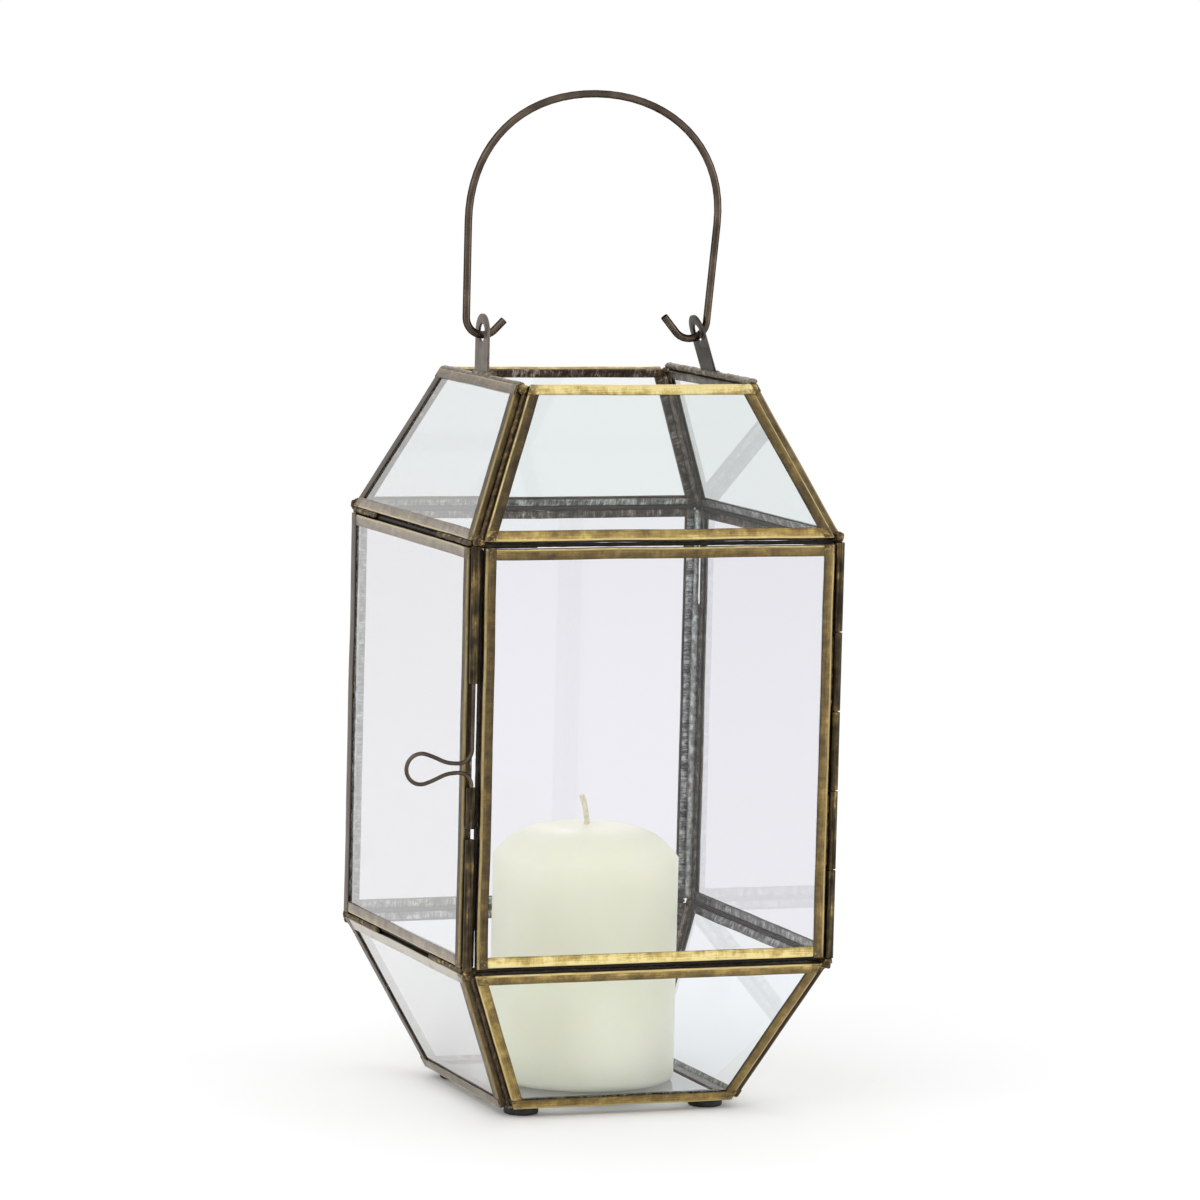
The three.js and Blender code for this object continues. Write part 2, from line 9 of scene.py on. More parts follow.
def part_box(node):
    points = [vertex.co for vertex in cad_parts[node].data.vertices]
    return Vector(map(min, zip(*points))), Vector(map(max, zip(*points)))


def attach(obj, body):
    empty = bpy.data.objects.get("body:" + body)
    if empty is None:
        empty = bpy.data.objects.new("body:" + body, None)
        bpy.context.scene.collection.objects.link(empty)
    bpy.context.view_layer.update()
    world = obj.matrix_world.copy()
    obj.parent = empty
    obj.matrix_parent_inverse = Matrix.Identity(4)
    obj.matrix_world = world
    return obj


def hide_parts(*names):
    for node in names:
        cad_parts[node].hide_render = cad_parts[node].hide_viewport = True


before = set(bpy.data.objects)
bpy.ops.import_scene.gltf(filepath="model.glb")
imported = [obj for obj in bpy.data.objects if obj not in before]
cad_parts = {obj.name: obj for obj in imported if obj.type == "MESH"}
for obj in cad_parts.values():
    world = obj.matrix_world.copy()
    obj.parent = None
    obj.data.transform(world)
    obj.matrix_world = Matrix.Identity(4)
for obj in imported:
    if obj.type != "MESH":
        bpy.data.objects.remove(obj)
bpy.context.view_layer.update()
MM = 0.001

# %% [markdown]
# The camera stands a little over two metres away, to the left of the door and slightly above the lantern.
# A long lens keeps the upright strips nearly parallel, as a catalogue picture does.
# It is placed by three turns: round the lantern, down towards it, and a small tilt about the line of sight.
# The film and the lens are given in millimetres, and the farthest distance that it sees in metres.
# %% Camera
CAMERA_PLACE = Vector((-775.04, -2118.76, 423.76)) * MM
CAMERA_YAW = math.radians(-20.449)
CAMERA_DOWN = math.radians(5.979)
CAMERA_TILT = math.radians(1.397)
FILM_WIDTH = 36
LENS = 181.58
FARTHEST = 50

bpy.ops.object.select_all(action="DESELECT")
bpy.ops.object.camera_add()
camera = bpy.context.object
camera.name = "camera"
camera.data.sensor_width = FILM_WIDTH
camera.data.lens = LENS
camera.data.clip_end = FARTHEST
camera.matrix_world = (
    Matrix.Translation(CAMERA_PLACE)
    @ Matrix.Rotation(CAMERA_YAW, 4, "Z")
    @ Matrix.Rotation(math.pi / 2 - CAMERA_DOWN, 4, "X")
    @ Matrix.Rotation(CAMERA_TILT, 4, "Z")
)
bpy.context.scene.camera = camera
bpy.context.scene.view_settings.view_transform = "Standard"
print("camera distance in m:", round(CAMERA_PLACE.length, 3))

# %% [markdown]
# Colours are written as the hex values a painter would pick on screen.
# Shaders work in linear light, so one function turns each of them.
# A second small function adds a node: its inputs are numbers, or sockets to link, and its settings are named.
# A Mix node has a set of sockets for each type of data, so the ones for colours are picked by number.
# A noise pattern has nearly all its values between 0.3 and 0.7, which is where the finishes read it.
# %% Colour and node helpers
FACTOR, MIX_A, MIX_B, MIX_OUT = 0, 6, 7, 2
NOISE_SPAN = {"From Min": 0.3, "From Max": 0.7}


def colour(code):
    """An sRGB hex value such as "8c7440" as linear RGBA."""
    parts = [int(code[k : k + 2], 16) / 255 for k in (0, 2, 4)]
    linear = [v / 12.92 if v <= 0.04045 else ((v + 0.055) / 1.055) ** 2.4 for v in parts]
    return (*linear, 1)


def add_node(owner, kind, inputs=None, stops=None, **settings):
    """Adds one node to a material or world. Inputs are values or sockets, stops are a ramp's colours."""
    tree = owner.node_tree
    node = tree.nodes.new("ShaderNode" + kind)
    for name, value in settings.items():
        setattr(node, name, value)
    for key, value in (inputs or {}).items():
        if isinstance(value, bpy.types.NodeSocket):
            tree.links.new(value, node.inputs[key])
        else:
            node.inputs[key].default_value = value
    if stops:
        ramp = node.color_ramp
        while len(ramp.elements) < len(stops):
            ramp.elements.new(0.5)
        for element, (place, code) in zip(ramp.elements, stops):
            element.position = place
            element.color = colour(code)
    return node


def new_material(name):
    """A material without any nodes."""
    material = bpy.data.materials.new(name)
    material.use_nodes = True
    material.node_tree.nodes.clear()
    return material


print("antique brass in linear light:", [round(v, 3) for v in colour("8c7440")])

# %% [markdown]
# The stage is a pale floor that runs out into a white surround.
# The surround is seen at full strength, as plain white, and lights the lantern at the strength of AMBIENT.
# Metal and glass see it at full strength as well, because they show whatever stands round them.
# %% Surround
AMBIENT = 1.0
WHITE = colour("ffffff")


def looked_at(owner):
    """1 for a ray from the camera, off gloss or through glass, and 0 for a ray that only brings light."""
    path = add_node(owner, "LightPath")
    seen = path.outputs["Is Camera Ray"]
    for ray in ("Is Glossy Ray", "Is Transmission Ray"):
        seen = add_node(owner, "Math", {0: seen, 1: path.outputs[ray]}, operation="MAXIMUM").outputs[0]
    return seen


world = bpy.data.worlds.new("white_surround")
bpy.context.scene.world = world
world.use_nodes = True
world.node_tree.nodes.clear()
strength = add_node(world, "MapRange", {"Value": looked_at(world), "To Min": AMBIENT, "To Max": 1.0})
sky = add_node(world, "Background", {"Color": WHITE, "Strength": strength.outputs[0]})
add_node(world, "OutputWorld", {"Surface": sky.outputs[0]})
print("surround lights at strength:", AMBIENT)

# %% [markdown]
# Under the lantern the floor is white paper. It glows a little of its own white, and the rest of its brightness
# is light that falls on it, so the lantern still leaves a soft shadow.
# From SWEEP_START to SWEEP_END, in metres from the middle, it fades into the plain white of the surround.
# %% Floor
FLOOR_GLOW = 0.05
PAPER = 0.86
FLOOR_SIZE = 14.0
SWEEP_START = 0.45
SWEEP_END = 2.2

paper = new_material("white_paper_floor")
seen = looked_at(paper)
glow = add_node(paper, "MapRange", {"Value": seen, "To Min": 0.0, "To Max": FLOOR_GLOW})
shining = add_node(paper, "Emission", {"Color": WHITE, "Strength": glow.outputs[0]})
lit = add_node(paper, "BsdfDiffuse", {"Color": (PAPER, PAPER, PAPER, 1)})
near = add_node(paper, "AddShader", {0: shining.outputs[0], 1: lit.outputs[0]})
far_glow = add_node(paper, "MapRange", {"Value": seen, "To Min": PAPER, "To Max": 1.0})
far = add_node(paper, "Emission", {"Color": WHITE, "Strength": far_glow.outputs[0]})
where = add_node(paper, "TexCoord").outputs["Object"]
reach = add_node(paper, "VectorMath", {0: where}, operation="LENGTH")
away = add_node(
    paper,
    "MapRange",
    {"Value": reach.outputs["Value"], "From Min": SWEEP_START, "From Max": SWEEP_END},
    interpolation_type="SMOOTHSTEP",
)
whole = add_node(paper, "MixShader", {0: away.outputs[0], 1: near.outputs[0], 2: far.outputs[0]})
add_node(paper, "OutputMaterial", {"Surface": whole.outputs[0]})

bpy.ops.object.select_all(action="DESELECT")
bpy.ops.mesh.primitive_plane_add(size=FLOOR_SIZE)
floor = bpy.context.object
floor.name = "floor"
floor.data.materials.append(paper)
print("floor side in m:", FLOOR_SIZE)

# %% [markdown]
# Four soft lamps give the metal its long highlights.
# The key hangs above and in front on the left, so the leaning upper frames catch it first, and a wide lamp low on the
# right fills the shadows. A tall narrow one on the left draws the light line down the wires, and one stands behind.
# Each row gives a lamp's place, its width and its height, in metres, and its power in watts.
# %% Lamps
LAMPS = {
    "key_lamp": ((-1.5, -1.6, 1.9), 1.8, 1.8, 12.5),
    "fill_lamp": ((2.1, -1.6, 0.5), 1.4, 0.9, 10.5),
    "strip_lamp": ((-1.9, -0.5, 0.7), 0.25, 1.6, 5),
    "back_lamp": ((0.9, 2.2, 1.3), 1.2, 0.8, 5),
}
LAMP_AIM = Vector((0, 0, 0.17))


def softbox(name, place, width, height, power):
    """A rectangular lamp that faces the middle of the lantern."""
    bpy.ops.object.select_all(action="DESELECT")
    bpy.ops.object.light_add(type="AREA", location=place)
    lamp = bpy.context.object
    lamp.name = name
    lamp.data.shape = "RECTANGLE"
    lamp.data.size = width
    lamp.data.size_y = height
    lamp.data.energy = power
    lamp.rotation_euler = (LAMP_AIM - Vector(place)).to_track_quat("-Z", "Y").to_euler()


for name, (place, width, height, power) in LAMPS.items():
    softbox(name, place, width, height, power)
print("lamps:", len(LAMPS), "with", sum(row[-1] for row in LAMPS.values()), "W in all")

# %% [markdown]
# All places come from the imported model: the middle of the base, the waists above and below the door, and the rim.
# The body's half widths at the waists and the rim, the size of the channel, and how far each panel is inset from its
# neighbour repeat the values that the solids were drawn with.
# %% Sizes of the body
WAIST_HALF = 73 * MM
RIM_HALF = 47 * MM
CHANNEL_DEPTH = 3.2 * MM
CHANNEL_WIDTH = 4 * MM
UPRIGHT_INSET = 5.2 * MM
WAIST_INSET = 1.5 * MM
SLANT_INSET = 3.7 * MM
FIT_GAP = 0.3 * MM

base_low, base_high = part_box("base_frame")
door_low, door_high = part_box("door_frame")
AXIS = (base_low.x + base_high.x) / 2
BODY_BOTTOM = base_low.z
LOWER_WAIST = door_low.z - WAIST_INSET
UPPER_WAIST = door_high.z + WAIST_INSET
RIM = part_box("upper_front_frame")[1].z
FRUSTUM_HEIGHT = RIM - UPPER_WAIST
PRISM_HEIGHT = UPPER_WAIST - LOWER_WAIST
SLANT = math.atan2(WAIST_HALF - RIM_HALF, FRUSTUM_HEIGHT)
SLOPE_LENGTH = math.hypot(WAIST_HALF - RIM_HALF, FRUSTUM_HEIGHT)
BASE_HALF = (base_high.x - base_low.x) / 2
print("axis, waists and rim in mm:", [round(v / MM, 2) for v in (AXIS, LOWER_WAIST, UPPER_WAIST, RIM)])

# %% [markdown]
# Two helpers for work in edit mode. An operator acts on all that is selected,
# so one clears the selection, and the other picks vertices, edges or faces by a test of their place.
# Lengths that differ by less than TOUCH are taken as equal in these tests.
# %% Selection helpers
TOUCH = 1e-6


def clear_selection():
    if bpy.context.mode != "OBJECT":
        bpy.ops.object.mode_set(mode="OBJECT")
    bpy.ops.object.select_all(action="DESELECT")


def choose(kind, test):
    """In edit mode, selects only the vertices, edges or faces that pass the test."""
    bpy.ops.mesh.select_mode(type=kind)
    bpy.ops.mesh.select_all(action="DESELECT")
    mesh = bmesh.from_edit_mesh(bpy.context.object.data)
    for part in {"VERT": mesh.verts, "EDGE": mesh.edges, "FACE": mesh.faces}[kind]:
        if test(part):
            part.select_set(True)
    mesh.select_flush_mode()
    bmesh.update_edit_mesh(bpy.context.object.data)


print("selected now:", len(bpy.context.selected_objects))

# %% [markdown]
# Three helpers for whole pieces. One applies a modifier, one joins loose parts into a piece,
# and the last gives a piece its material, the body it moves with and the solids that it stands for.
# Edges sharper than BEVEL_ANGLE get a bevel, and faces that meet at less than SMOOTH_ANGLE are shaded as one.
# %% Helpers for whole pieces
BEVEL_ANGLE = math.radians(50)
SMOOTH_ANGLE = math.radians(40)


def add_modifier(piece, kind, **settings):
    """Adds a modifier and applies it."""
    clear_selection()
    bpy.context.view_layer.objects.active = piece
    piece.select_set(True)
    modifier = piece.modifiers.new(kind.lower(), kind)
    for name, value in settings.items():
        setattr(modifier, name, value)
    bpy.ops.object.modifier_apply(modifier=modifier.name)


def join(pieces, name):
    """Joins pieces into one object, which takes the name."""
    clear_selection()
    for piece in pieces:
        piece.select_set(True)
    bpy.context.view_layer.objects.active = pieces[0]
    if len(pieces) > 1:
        bpy.ops.object.join()
    whole = bpy.context.object
    whole.name = name
    whole.data.name = name
    return whole


def finish_piece(piece, body, material, slot, *nodes):
    """Sets a piece's material, body and solids. The slot is not used. With no material it keeps the ones that it has.
    """
    if material:
        piece.data.materials.clear()
        piece.data.materials.append(material)
    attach(piece, body)
    if nodes:
        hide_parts(*nodes)
    return piece


# %% [markdown]
# The frames are antiqued brass strip: rolled sheet, folded into a channel, darkened in a bath and rubbed back by hand.
# Its finish is mixed from a few patterns. Rolling left very fine ribs across the strip, the cloth drew longer streaks
# along it, the bath came out in blotches, and the solder bath left spangles on the inner side.
# Each strip carries its own coordinates: along it and down through its depth in millimetres, and across a flange in
# quarters of its width. It also carries its own tone, how bright its fold is, worn and painted as a highlight, its
# distance from the nearer end and its bath.
# %% Patterns on the strip
# Blotches about 7 mm across, spangles of about 4 mm, and specks of a millimetre, as scale, detail, roughness and
# distortion.
STRIP_NOISES = {
    "blotch": (150.0, 7.0, 0.68, 0.0),
    "spangle": (260.0, 7.0, 0.72, 0.3),
    "speck": (900.0, 3.0, 0.6, 0.0),
}
# Ribs about 0.5 mm apart, and streaks about 0.4 mm wide and 15 mm long, as patterns to the millimetre, detail and
# roughness.
STRIP_LINES = {"ribs": ((2.1, 0.15, 0.15), 1.0, 0.6), "streaks": ((0.07, 2.4, 2.4), 2.0, 0.55)}


def strip_patterns(material):
    """The sockets from which the finish of a strip is mixed, by name."""
    where = add_node(material, "TexCoord").outputs["Object"]
    place = add_node(material, "Attribute", attribute_name="strip_place").outputs["Vector"]
    tone = add_node(material, "Attribute", attribute_name="strip_tone").outputs["Vector"]
    _, across, level = add_node(material, "SeparateXYZ", {0: place}).outputs
    patina, dullness_and_painted_glare, dark_web = add_node(material, "SeparateXYZ", {0: tone}).outputs
    marks = {"across": across, "level": level, "patina": patina, "dullness_and_painted_glare": dullness_and_painted_glare, "dark_web": dark_web}
    for mark in ("wear_and_highlight", "end", "bath"):
        marks[mark] = add_node(material, "Attribute", attribute_name=f"strip_{mark}").outputs["Fac"]
    for mark, (scale, detail, roughness, distortion) in STRIP_NOISES.items():
        noise = {"Scale": scale, "Detail": detail, "Roughness": roughness, "Distortion": distortion}
        marks[mark] = add_node(material, "TexNoise", {"Vector": where, **noise}).outputs["Fac"]
    for mark, (stretch, detail, roughness) in STRIP_LINES.items():
        drawn = add_node(material, "VectorMath", {0: place, 1: stretch}, operation="MULTIPLY")
        noise = {"Scale": 1.0, "Detail": detail, "Roughness": roughness}
        marks[mark] = add_node(material, "TexNoise", {"Vector": drawn.outputs[0], **noise}).outputs["Fac"]
    return marks


print("patterns on the strip:", [*STRIP_NOISES, *STRIP_LINES])

# %% [markdown]
# How dark a spot is comes to one number from 0 to 1: the patina of its strip, with the patterns and a painted shade
# added to it.
# A ramp turns the number into a colour. It is gold where the cloth reached, then olive, and brown where it didn't.
# Some strips kept a dull, greyish skin, and theirs is a ramp of its own. On the left panels this grey is partly a
# painted reflection.
# %% Outer side of the strip
# How much each pattern lightens or darkens the strip.
DARKENING = {"blotch": 0.21, "ribs": 0.03, "streaks": 0.09}


def strip_darkness(material, marks):
    """How dark each spot is, from the bath and a painted shade across the flange, from 0 for bright gold to 1 for dark
    brown.
    """
    darker = marks["patina"]
    for mark, most in DARKENING.items():
        swing = add_node(material, "MapRange", {"Value": marks[mark], **NOISE_SPAN, "To Min": -most, "To Max": most})
        darker = add_node(material, "Math", {0: darker, 1: swing.outputs[0]}, operation="ADD").outputs[0]
    # Painted shade: the flange darkens from its outer fold towards the glass.
    painted_flange_shade = add_node(
        material,
        "MapRange",
        {"Value": marks["across"], "From Min": 0.5, "From Max": 4.0, "To Min": -0.12, "To Max": 0.08},
    )
    darker = add_node(material, "Math", {0: darker, 1: painted_flange_shade.outputs[0]}, operation="ADD", use_clamp=True)
    return darker.outputs[0]


def outer_colour(material, marks, darker):
    """The colour of the outer side: rubbed brass, and the dull grey skin over it where a strip kept one. On the left
    the grey is partly a painted reflection.
    """
    rubbed = add_node(
        material,
        "ValToRGB",
        {"Fac": darker},
        stops=[
            (0.0, "efdf9f"),
            (0.09, "dfc981"),
            (0.22, "b59b5c"),
            (0.42, "867146"),
            (0.62, "645435"),
            (0.8, "4d412d"),
            (1.0, "3a3025"),
        ],
    )
    dull = add_node(
        material,
        "ValToRGB",
        {"Fac": darker},
        stops=[(0.0, "b9b2a6"), (0.35, "978b7e"), (0.7, "776b5f"), (1.0, "554b43")],
    )
    outside = add_node(
        material,
        "Mix",
        {FACTOR: marks["dullness_and_painted_glare"], MIX_A: rubbed.outputs[0], MIX_B: dull.outputs[0]},
        data_type="RGBA",
    )
    return outside.outputs[MIX_OUT]


print("the patterns swing the darkness by up to", round(sum(DARKENING.values()), 2))

# %% [markdown]
# The web between the flanges was rubbed on some strips and is dark on the others. That dark is partly patina and
# partly painted shade, as the web lies deep in the channel and in the gap at the waists.
# The side that faces the candle was never finished and stays a blotchy zinc grey from the solder bath.
# In places the dark bath reached it as well and left it brown.
# The depth down the channel, in millimetres, tells where the web and the inner flange begin and where they are full.
# %% Web and inner side of the strip
WEB_START, WEB_FULL = 0.35, 0.9
INNER_START, INNER_FULL = 2.3, 2.7


def add_inner_side(material, marks, outside):
    """The colour of the whole strip: the web and the inner side are laid over that of the outer side."""
    past_fold = add_node(
        material,
        "MapRange",
        {"Value": marks["level"], "From Min": WEB_START, "From Max": WEB_FULL},
        interpolation_type="SMOOTHSTEP",
    )
    past_fold = add_node(material, "Math", {0: past_fold.outputs[0], 1: marks["dark_web"]}, operation="MULTIPLY")
    # The dark web is partly patina and partly painted shade in the channel and the waist gap.
    web = add_node(
        material,
        "ValToRGB",
        {"Fac": marks["blotch"]},
        stops=[(0.3, "4a3d28"), (0.55, "362c20"), (0.75, "271f19")],
    )
    combed = add_node(material, "MapRange", {"Value": marks["ribs"], **NOISE_SPAN, "To Min": -0.09, "To Max": 0.09})
    combed = add_node(material, "Math", {0: marks["spangle"], 1: combed.outputs[0]}, operation="ADD")
    grey = add_node(
        material,
        "ValToRGB",
        {"Fac": combed.outputs[0]},
        stops=[(0.36, "403c38"), (0.44, "6b6966"), (0.52, "949695"), (0.59, "bcc3c0"), (0.67, "dde4e1")],
    )
    brown = add_node(
        material,
        "ValToRGB",
        {"Fac": combed.outputs[0]},
        stops=[(0.38, "30271e"), (0.53, "4e4133"), (0.6, "76685a"), (0.68, "a8a298")],
    )
    stained = add_node(
        material,
        "Mix",
        {FACTOR: marks["bath"], MIX_A: grey.outputs[0], MIX_B: brown.outputs[0]},
        data_type="RGBA",
    )
    inner = add_node(
        material,
        "MapRange",
        {"Value": marks["level"], "From Min": INNER_START, "From Max": INNER_FULL},
        interpolation_type="SMOOTHSTEP",
    )
    body = outside
    for share, layer in ((past_fold, web.outputs[0]), (inner, stained.outputs[MIX_OUT])):
        body = add_node(
            material,
            "Mix",
            {FACTOR: share.outputs[0], MIX_A: body, MIX_B: layer},
            data_type="RGBA",
        ).outputs[MIX_OUT]
    return body


print("width of the web in mm:", round(INNER_START - WEB_START, 2))

# %% [markdown]
# Three marks lie over these colours. The outer fold is bright in a broken line: partly wear from the cloth and partly
# a painted highlight, where a fold would catch the lamps. The cut edge by the glass is darker, and solder smears over
# the last few millimetres of each strip.
# %% Worn and highlit fold, cut edge and smeared ends
WORN_GOLD_AND_HIGHLIGHT = "e3cf94"
CUT_DARK = "2e261c"


def add_marks(material, marks, body):
    """The colour of the strip with its marks, and where solder smears over it."""
    # The bright fold is partly wear and partly a painted highlight.
    from_fold = add_node(material, "Math", {0: marks["across"], 1: marks["level"]}, operation="ADD")
    fold = add_node(
        material,
        "MapRange",
        {"Value": from_fold.outputs[0], "From Min": 0.33, "From Max": 0.82, "To Min": 1.0, "To Max": 0.0},
        interpolation_type="SMOOTHSTEP",
    )
    broken = add_node(
        material,
        "MapRange",
        {"Value": marks["blotch"], "From Min": 0.36, "From Max": 0.56, "To Min": 0.25, "To Max": 0.95},
    )
    worn_and_highlit = add_node(material, "Math", {0: fold.outputs[0], 1: broken.outputs[0]}, operation="MULTIPLY")
    worn_and_highlit = add_node(material, "Math", {0: worn_and_highlit.outputs[0], 1: marks["wear_and_highlight"]}, operation="MULTIPLY")

    # Under a dull skin the cut edge doesn't show.
    cut = add_node(
        material,
        "MapRange",
        {"Value": marks["across"], "From Min": 3.7, "From Max": 3.97, "To Min": 0.0, "To Max": 0.6},
    )
    bare = add_node(material, "Math", {0: 1.0, 1: marks["dullness_and_painted_glare"]}, operation="SUBTRACT", use_clamp=True)
    cut = add_node(material, "Math", {0: cut.outputs[0], 1: bare.outputs[0]}, operation="MULTIPLY")

    smear = add_node(
        material,
        "MapRange",
        {"Value": marks["end"], "From Min": 1.0, "From Max": 6.0, "To Min": 0.75, "To Max": 0.0},
        interpolation_type="SMOOTHSTEP",
    )
    ragged = add_node(material, "MapRange", {"Value": marks["spangle"], "From Min": 0.42, "From Max": 0.52})
    smear = add_node(material, "Math", {0: smear.outputs[0], 1: ragged.outputs[0]}, operation="MULTIPLY")
    smeared = add_node(
        material,
        "ValToRGB",
        {"Fac": marks["speck"]},
        stops=[(0.35, "3a3026"), (0.55, "65553c"), (0.68, "c3a869")],
    )
    for share, layer in ((worn_and_highlit, colour(WORN_GOLD_AND_HIGHLIGHT)), (cut, colour(CUT_DARK)), (smear, smeared.outputs[0])):
        body = add_node(
            material,
            "Mix",
            {FACTOR: share.outputs[0], MIX_A: body, MIX_B: layer},
            data_type="RGBA",
        ).outputs[MIX_OUT]
    return body, smear.outputs[0]


print("worn fold and cut edge:", WORN_GOLD_AND_HIGHLIGHT, CUT_DARK)

# %% [markdown]
# Brass is bare metal, so it is metallic all over, and its colour is that of its reflection.
# Dark patina is rougher than rubbed brass, and a thin coat of wax over both gives a softer second gloss.
# The patterns also raise the surface: ribs and streaks by hundredths, blotches and smears by tenths of a millimetre.
# %% Antiqued brass strip
def strip_brass():
    material = new_material("antiqued_brass_strip")
    marks = strip_patterns(material)
    darker = strip_darkness(material, marks)
    body = add_inner_side(material, marks, outer_colour(material, marks, darker))
    body, smear = add_marks(material, marks, body)
    roughness = add_node(material, "MapRange", {"Value": darker, "To Min": 0.28, "To Max": 0.5})
    rough_end = add_node(material, "Math", {0: smear, 1: marks["speck"]}, operation="MULTIPLY")
    # The height, the strength and the reach in mm of each relief.
    reliefs = [
        (marks["ribs"], 0.1, 0.05),
        (marks["streaks"], 0.2, 0.08),
        (marks["blotch"], 0.5, 0.3),
        (rough_end.outputs[0], 0.8, 0.3),
    ]
    normal = {}
    for relief, strength, reach in reliefs:
        bump = add_node(material, "Bump", {"Height": relief, "Strength": strength, "Distance": reach * MM, **normal})
        normal = {"Normal": bump.outputs[0]}
    metal = add_node(
        material,
        "BsdfPrincipled",
        {
            "Base Color": body,
            "Metallic": 1.0,
            "Roughness": roughness.outputs[0],
            "Coat Weight": 0.25,
            "Coat Roughness": 0.35,
            **normal,
        },
    )
    add_node(material, "OutputMaterial", {"Surface": metal.outputs[0]})
    return material


brass = strip_brass()
print(brass.name, "has", len(brass.node_tree.nodes), "nodes")

# %% [markdown]
# One length of channel: a flat ribbon stands on edge as the web, and both long edges are pulled out as flanges.
# The folds are rounded before the ribbon gets its thickness, so that the sheet bends evenly, as folded metal does.
# The length is cut square or slanted with a bisecting plane at each end, and the cut edges get a fine bevel.
# The ribbon is drawn longer than needed by SPARE at both ends, so that a slanted cut finds metal.
# %% One length of channel
SHEET = 0.45 * MM
FOLD_RADIUS = 0.6 * MM
CUT_EDGE = 0.07 * MM
STEP_ALONG = 6 * MM
SPARE = 12 * MM


def channel_length(length, lap, start, end, widths):
    """A channel from x = 0 to its length. Start and end are the cutting planes, each a point and a normal.
    The widths are those of the outer and the inner flange."""
    clear_selection()
    depth = CHANNEL_DEPTH + 2 * lap
    full = length + 2 * SPARE
    bpy.ops.mesh.primitive_plane_add(size=1, rotation=(math.pi / 2, 0, 0))
    strip = bpy.context.object
    strip.scale = (full, depth, 1)
    strip.location = (length / 2, -lap, lap - depth / 2)
    bpy.ops.object.transform_apply(location=True, rotation=True, scale=True)
    bpy.ops.object.mode_set(mode="EDIT")
    choose("EDGE", lambda e: abs(e.verts[0].co.x - e.verts[1].co.x) > length / 2)
    bpy.ops.mesh.subdivide(number_cuts=int(full / STEP_ALONG))
    for level, width in zip((lap, lap - depth), widths):
        choose("EDGE", lambda e: e.is_boundary and all(abs(v.co.z - level) < TOUCH for v in e.verts))
        bpy.ops.mesh.extrude_edges_move(TRANSFORM_OT_translate={"value": (0, width + lap, 0)})
    choose(
        "EDGE",
        lambda e: all(abs(v.co.y + lap) < TOUCH for v in e.verts)
        and abs(e.verts[0].co.z - e.verts[1].co.z) < depth / 2,
    )
    bpy.ops.mesh.bevel(offset=FOLD_RADIUS, segments=3, affect="EDGES")
    bpy.ops.object.mode_set(mode="OBJECT")
    add_modifier(strip, "SOLIDIFY", thickness=SHEET, offset=-1)
    bpy.ops.object.mode_set(mode="EDIT")
    for point, normal in (start, end):
        bpy.ops.mesh.select_all(action="SELECT")
        bpy.ops.mesh.bisect(plane_co=point, plane_no=normal, use_fill=True, clear_outer=True)
    bpy.ops.object.mode_set(mode="OBJECT")
    add_modifier(strip, "BEVEL", width=CUT_EDGE, segments=1, limit_method="ANGLE", angle_limit=BEVEL_ANGLE)
    return strip


def note_place(strip, start, end, number, widths):
    """Keeps where each vertex lies on its own strip: in mm, and across a flange in quarters of its width."""
    mesh = strip.data
    mesh.attributes.new("strip_place", "FLOAT_VECTOR", "POINT")
    mesh.attributes.new("strip_end", "FLOAT", "POINT")
    mesh.attributes.new("strip_number", "FLOAT", "POINT")
    place, ends, which = (mesh.attributes[n] for n in ("strip_place", "strip_end", "strip_number"))
    for k, vertex in enumerate(mesh.vertices):
        co = vertex.co
        width = widths[0] if -co.z < CHANNEL_DEPTH / 2 else widths[1]
        place.data[k].vector = (co.x / MM, 4 * co.y / width, -co.z / MM)
        distance = min((point - co).dot(normal) for point, normal in (start, end))
        ends.data[k].value = distance / MM
        which.data[k].value = number


print("sheet thickness in mm:", round(SHEET / MM, 2))

# %% [markdown]
# A ring of four lengths frames a pane. On the real lantern one strip is wrapped round the glass, notched at the
# corners. Its flanges lap there, so two of the lengths sit proud of the others by LAP and cover their ends, which are
# cut back by TUCK.
# The inner flange is folded narrower than the outer one, and on the back and right panels both are narrow.
# The base has the wider flange inside, where its pane rests.
# On the left panels the stile at the back was folded wider outside and narrower inside. It is the left stile of
# a panel as drawn flat, and the right one of a lower panel, which is turned half round.
# %% Widths of the strips
LAP = 0.16 * MM
TUCK = 0.25 * MM
NEAR_WIDTHS = (CHANNEL_WIDTH, 3.1 * MM)
FAR_WIDTHS = (3.2 * MM, 3.1 * MM)
WIDE_WIDTHS = (5.1 * MM, 2.1 * MM)
BASE_WIDTHS = (CHANNEL_WIDTH, 4.5 * MM)
RING_WIDTHS = {
    "near": [NEAR_WIDTHS] * 4,
    "far": [FAR_WIDTHS] * 4,
    "wide_left": [NEAR_WIDTHS] * 3 + [WIDE_WIDTHS],
    "wide_right": [NEAR_WIDTHS, WIDE_WIDTHS, NEAR_WIDTHS, NEAR_WIDTHS],
}
print("widths of a front strip in mm:", [round(width / MM, 1) for width in NEAR_WIDTHS])

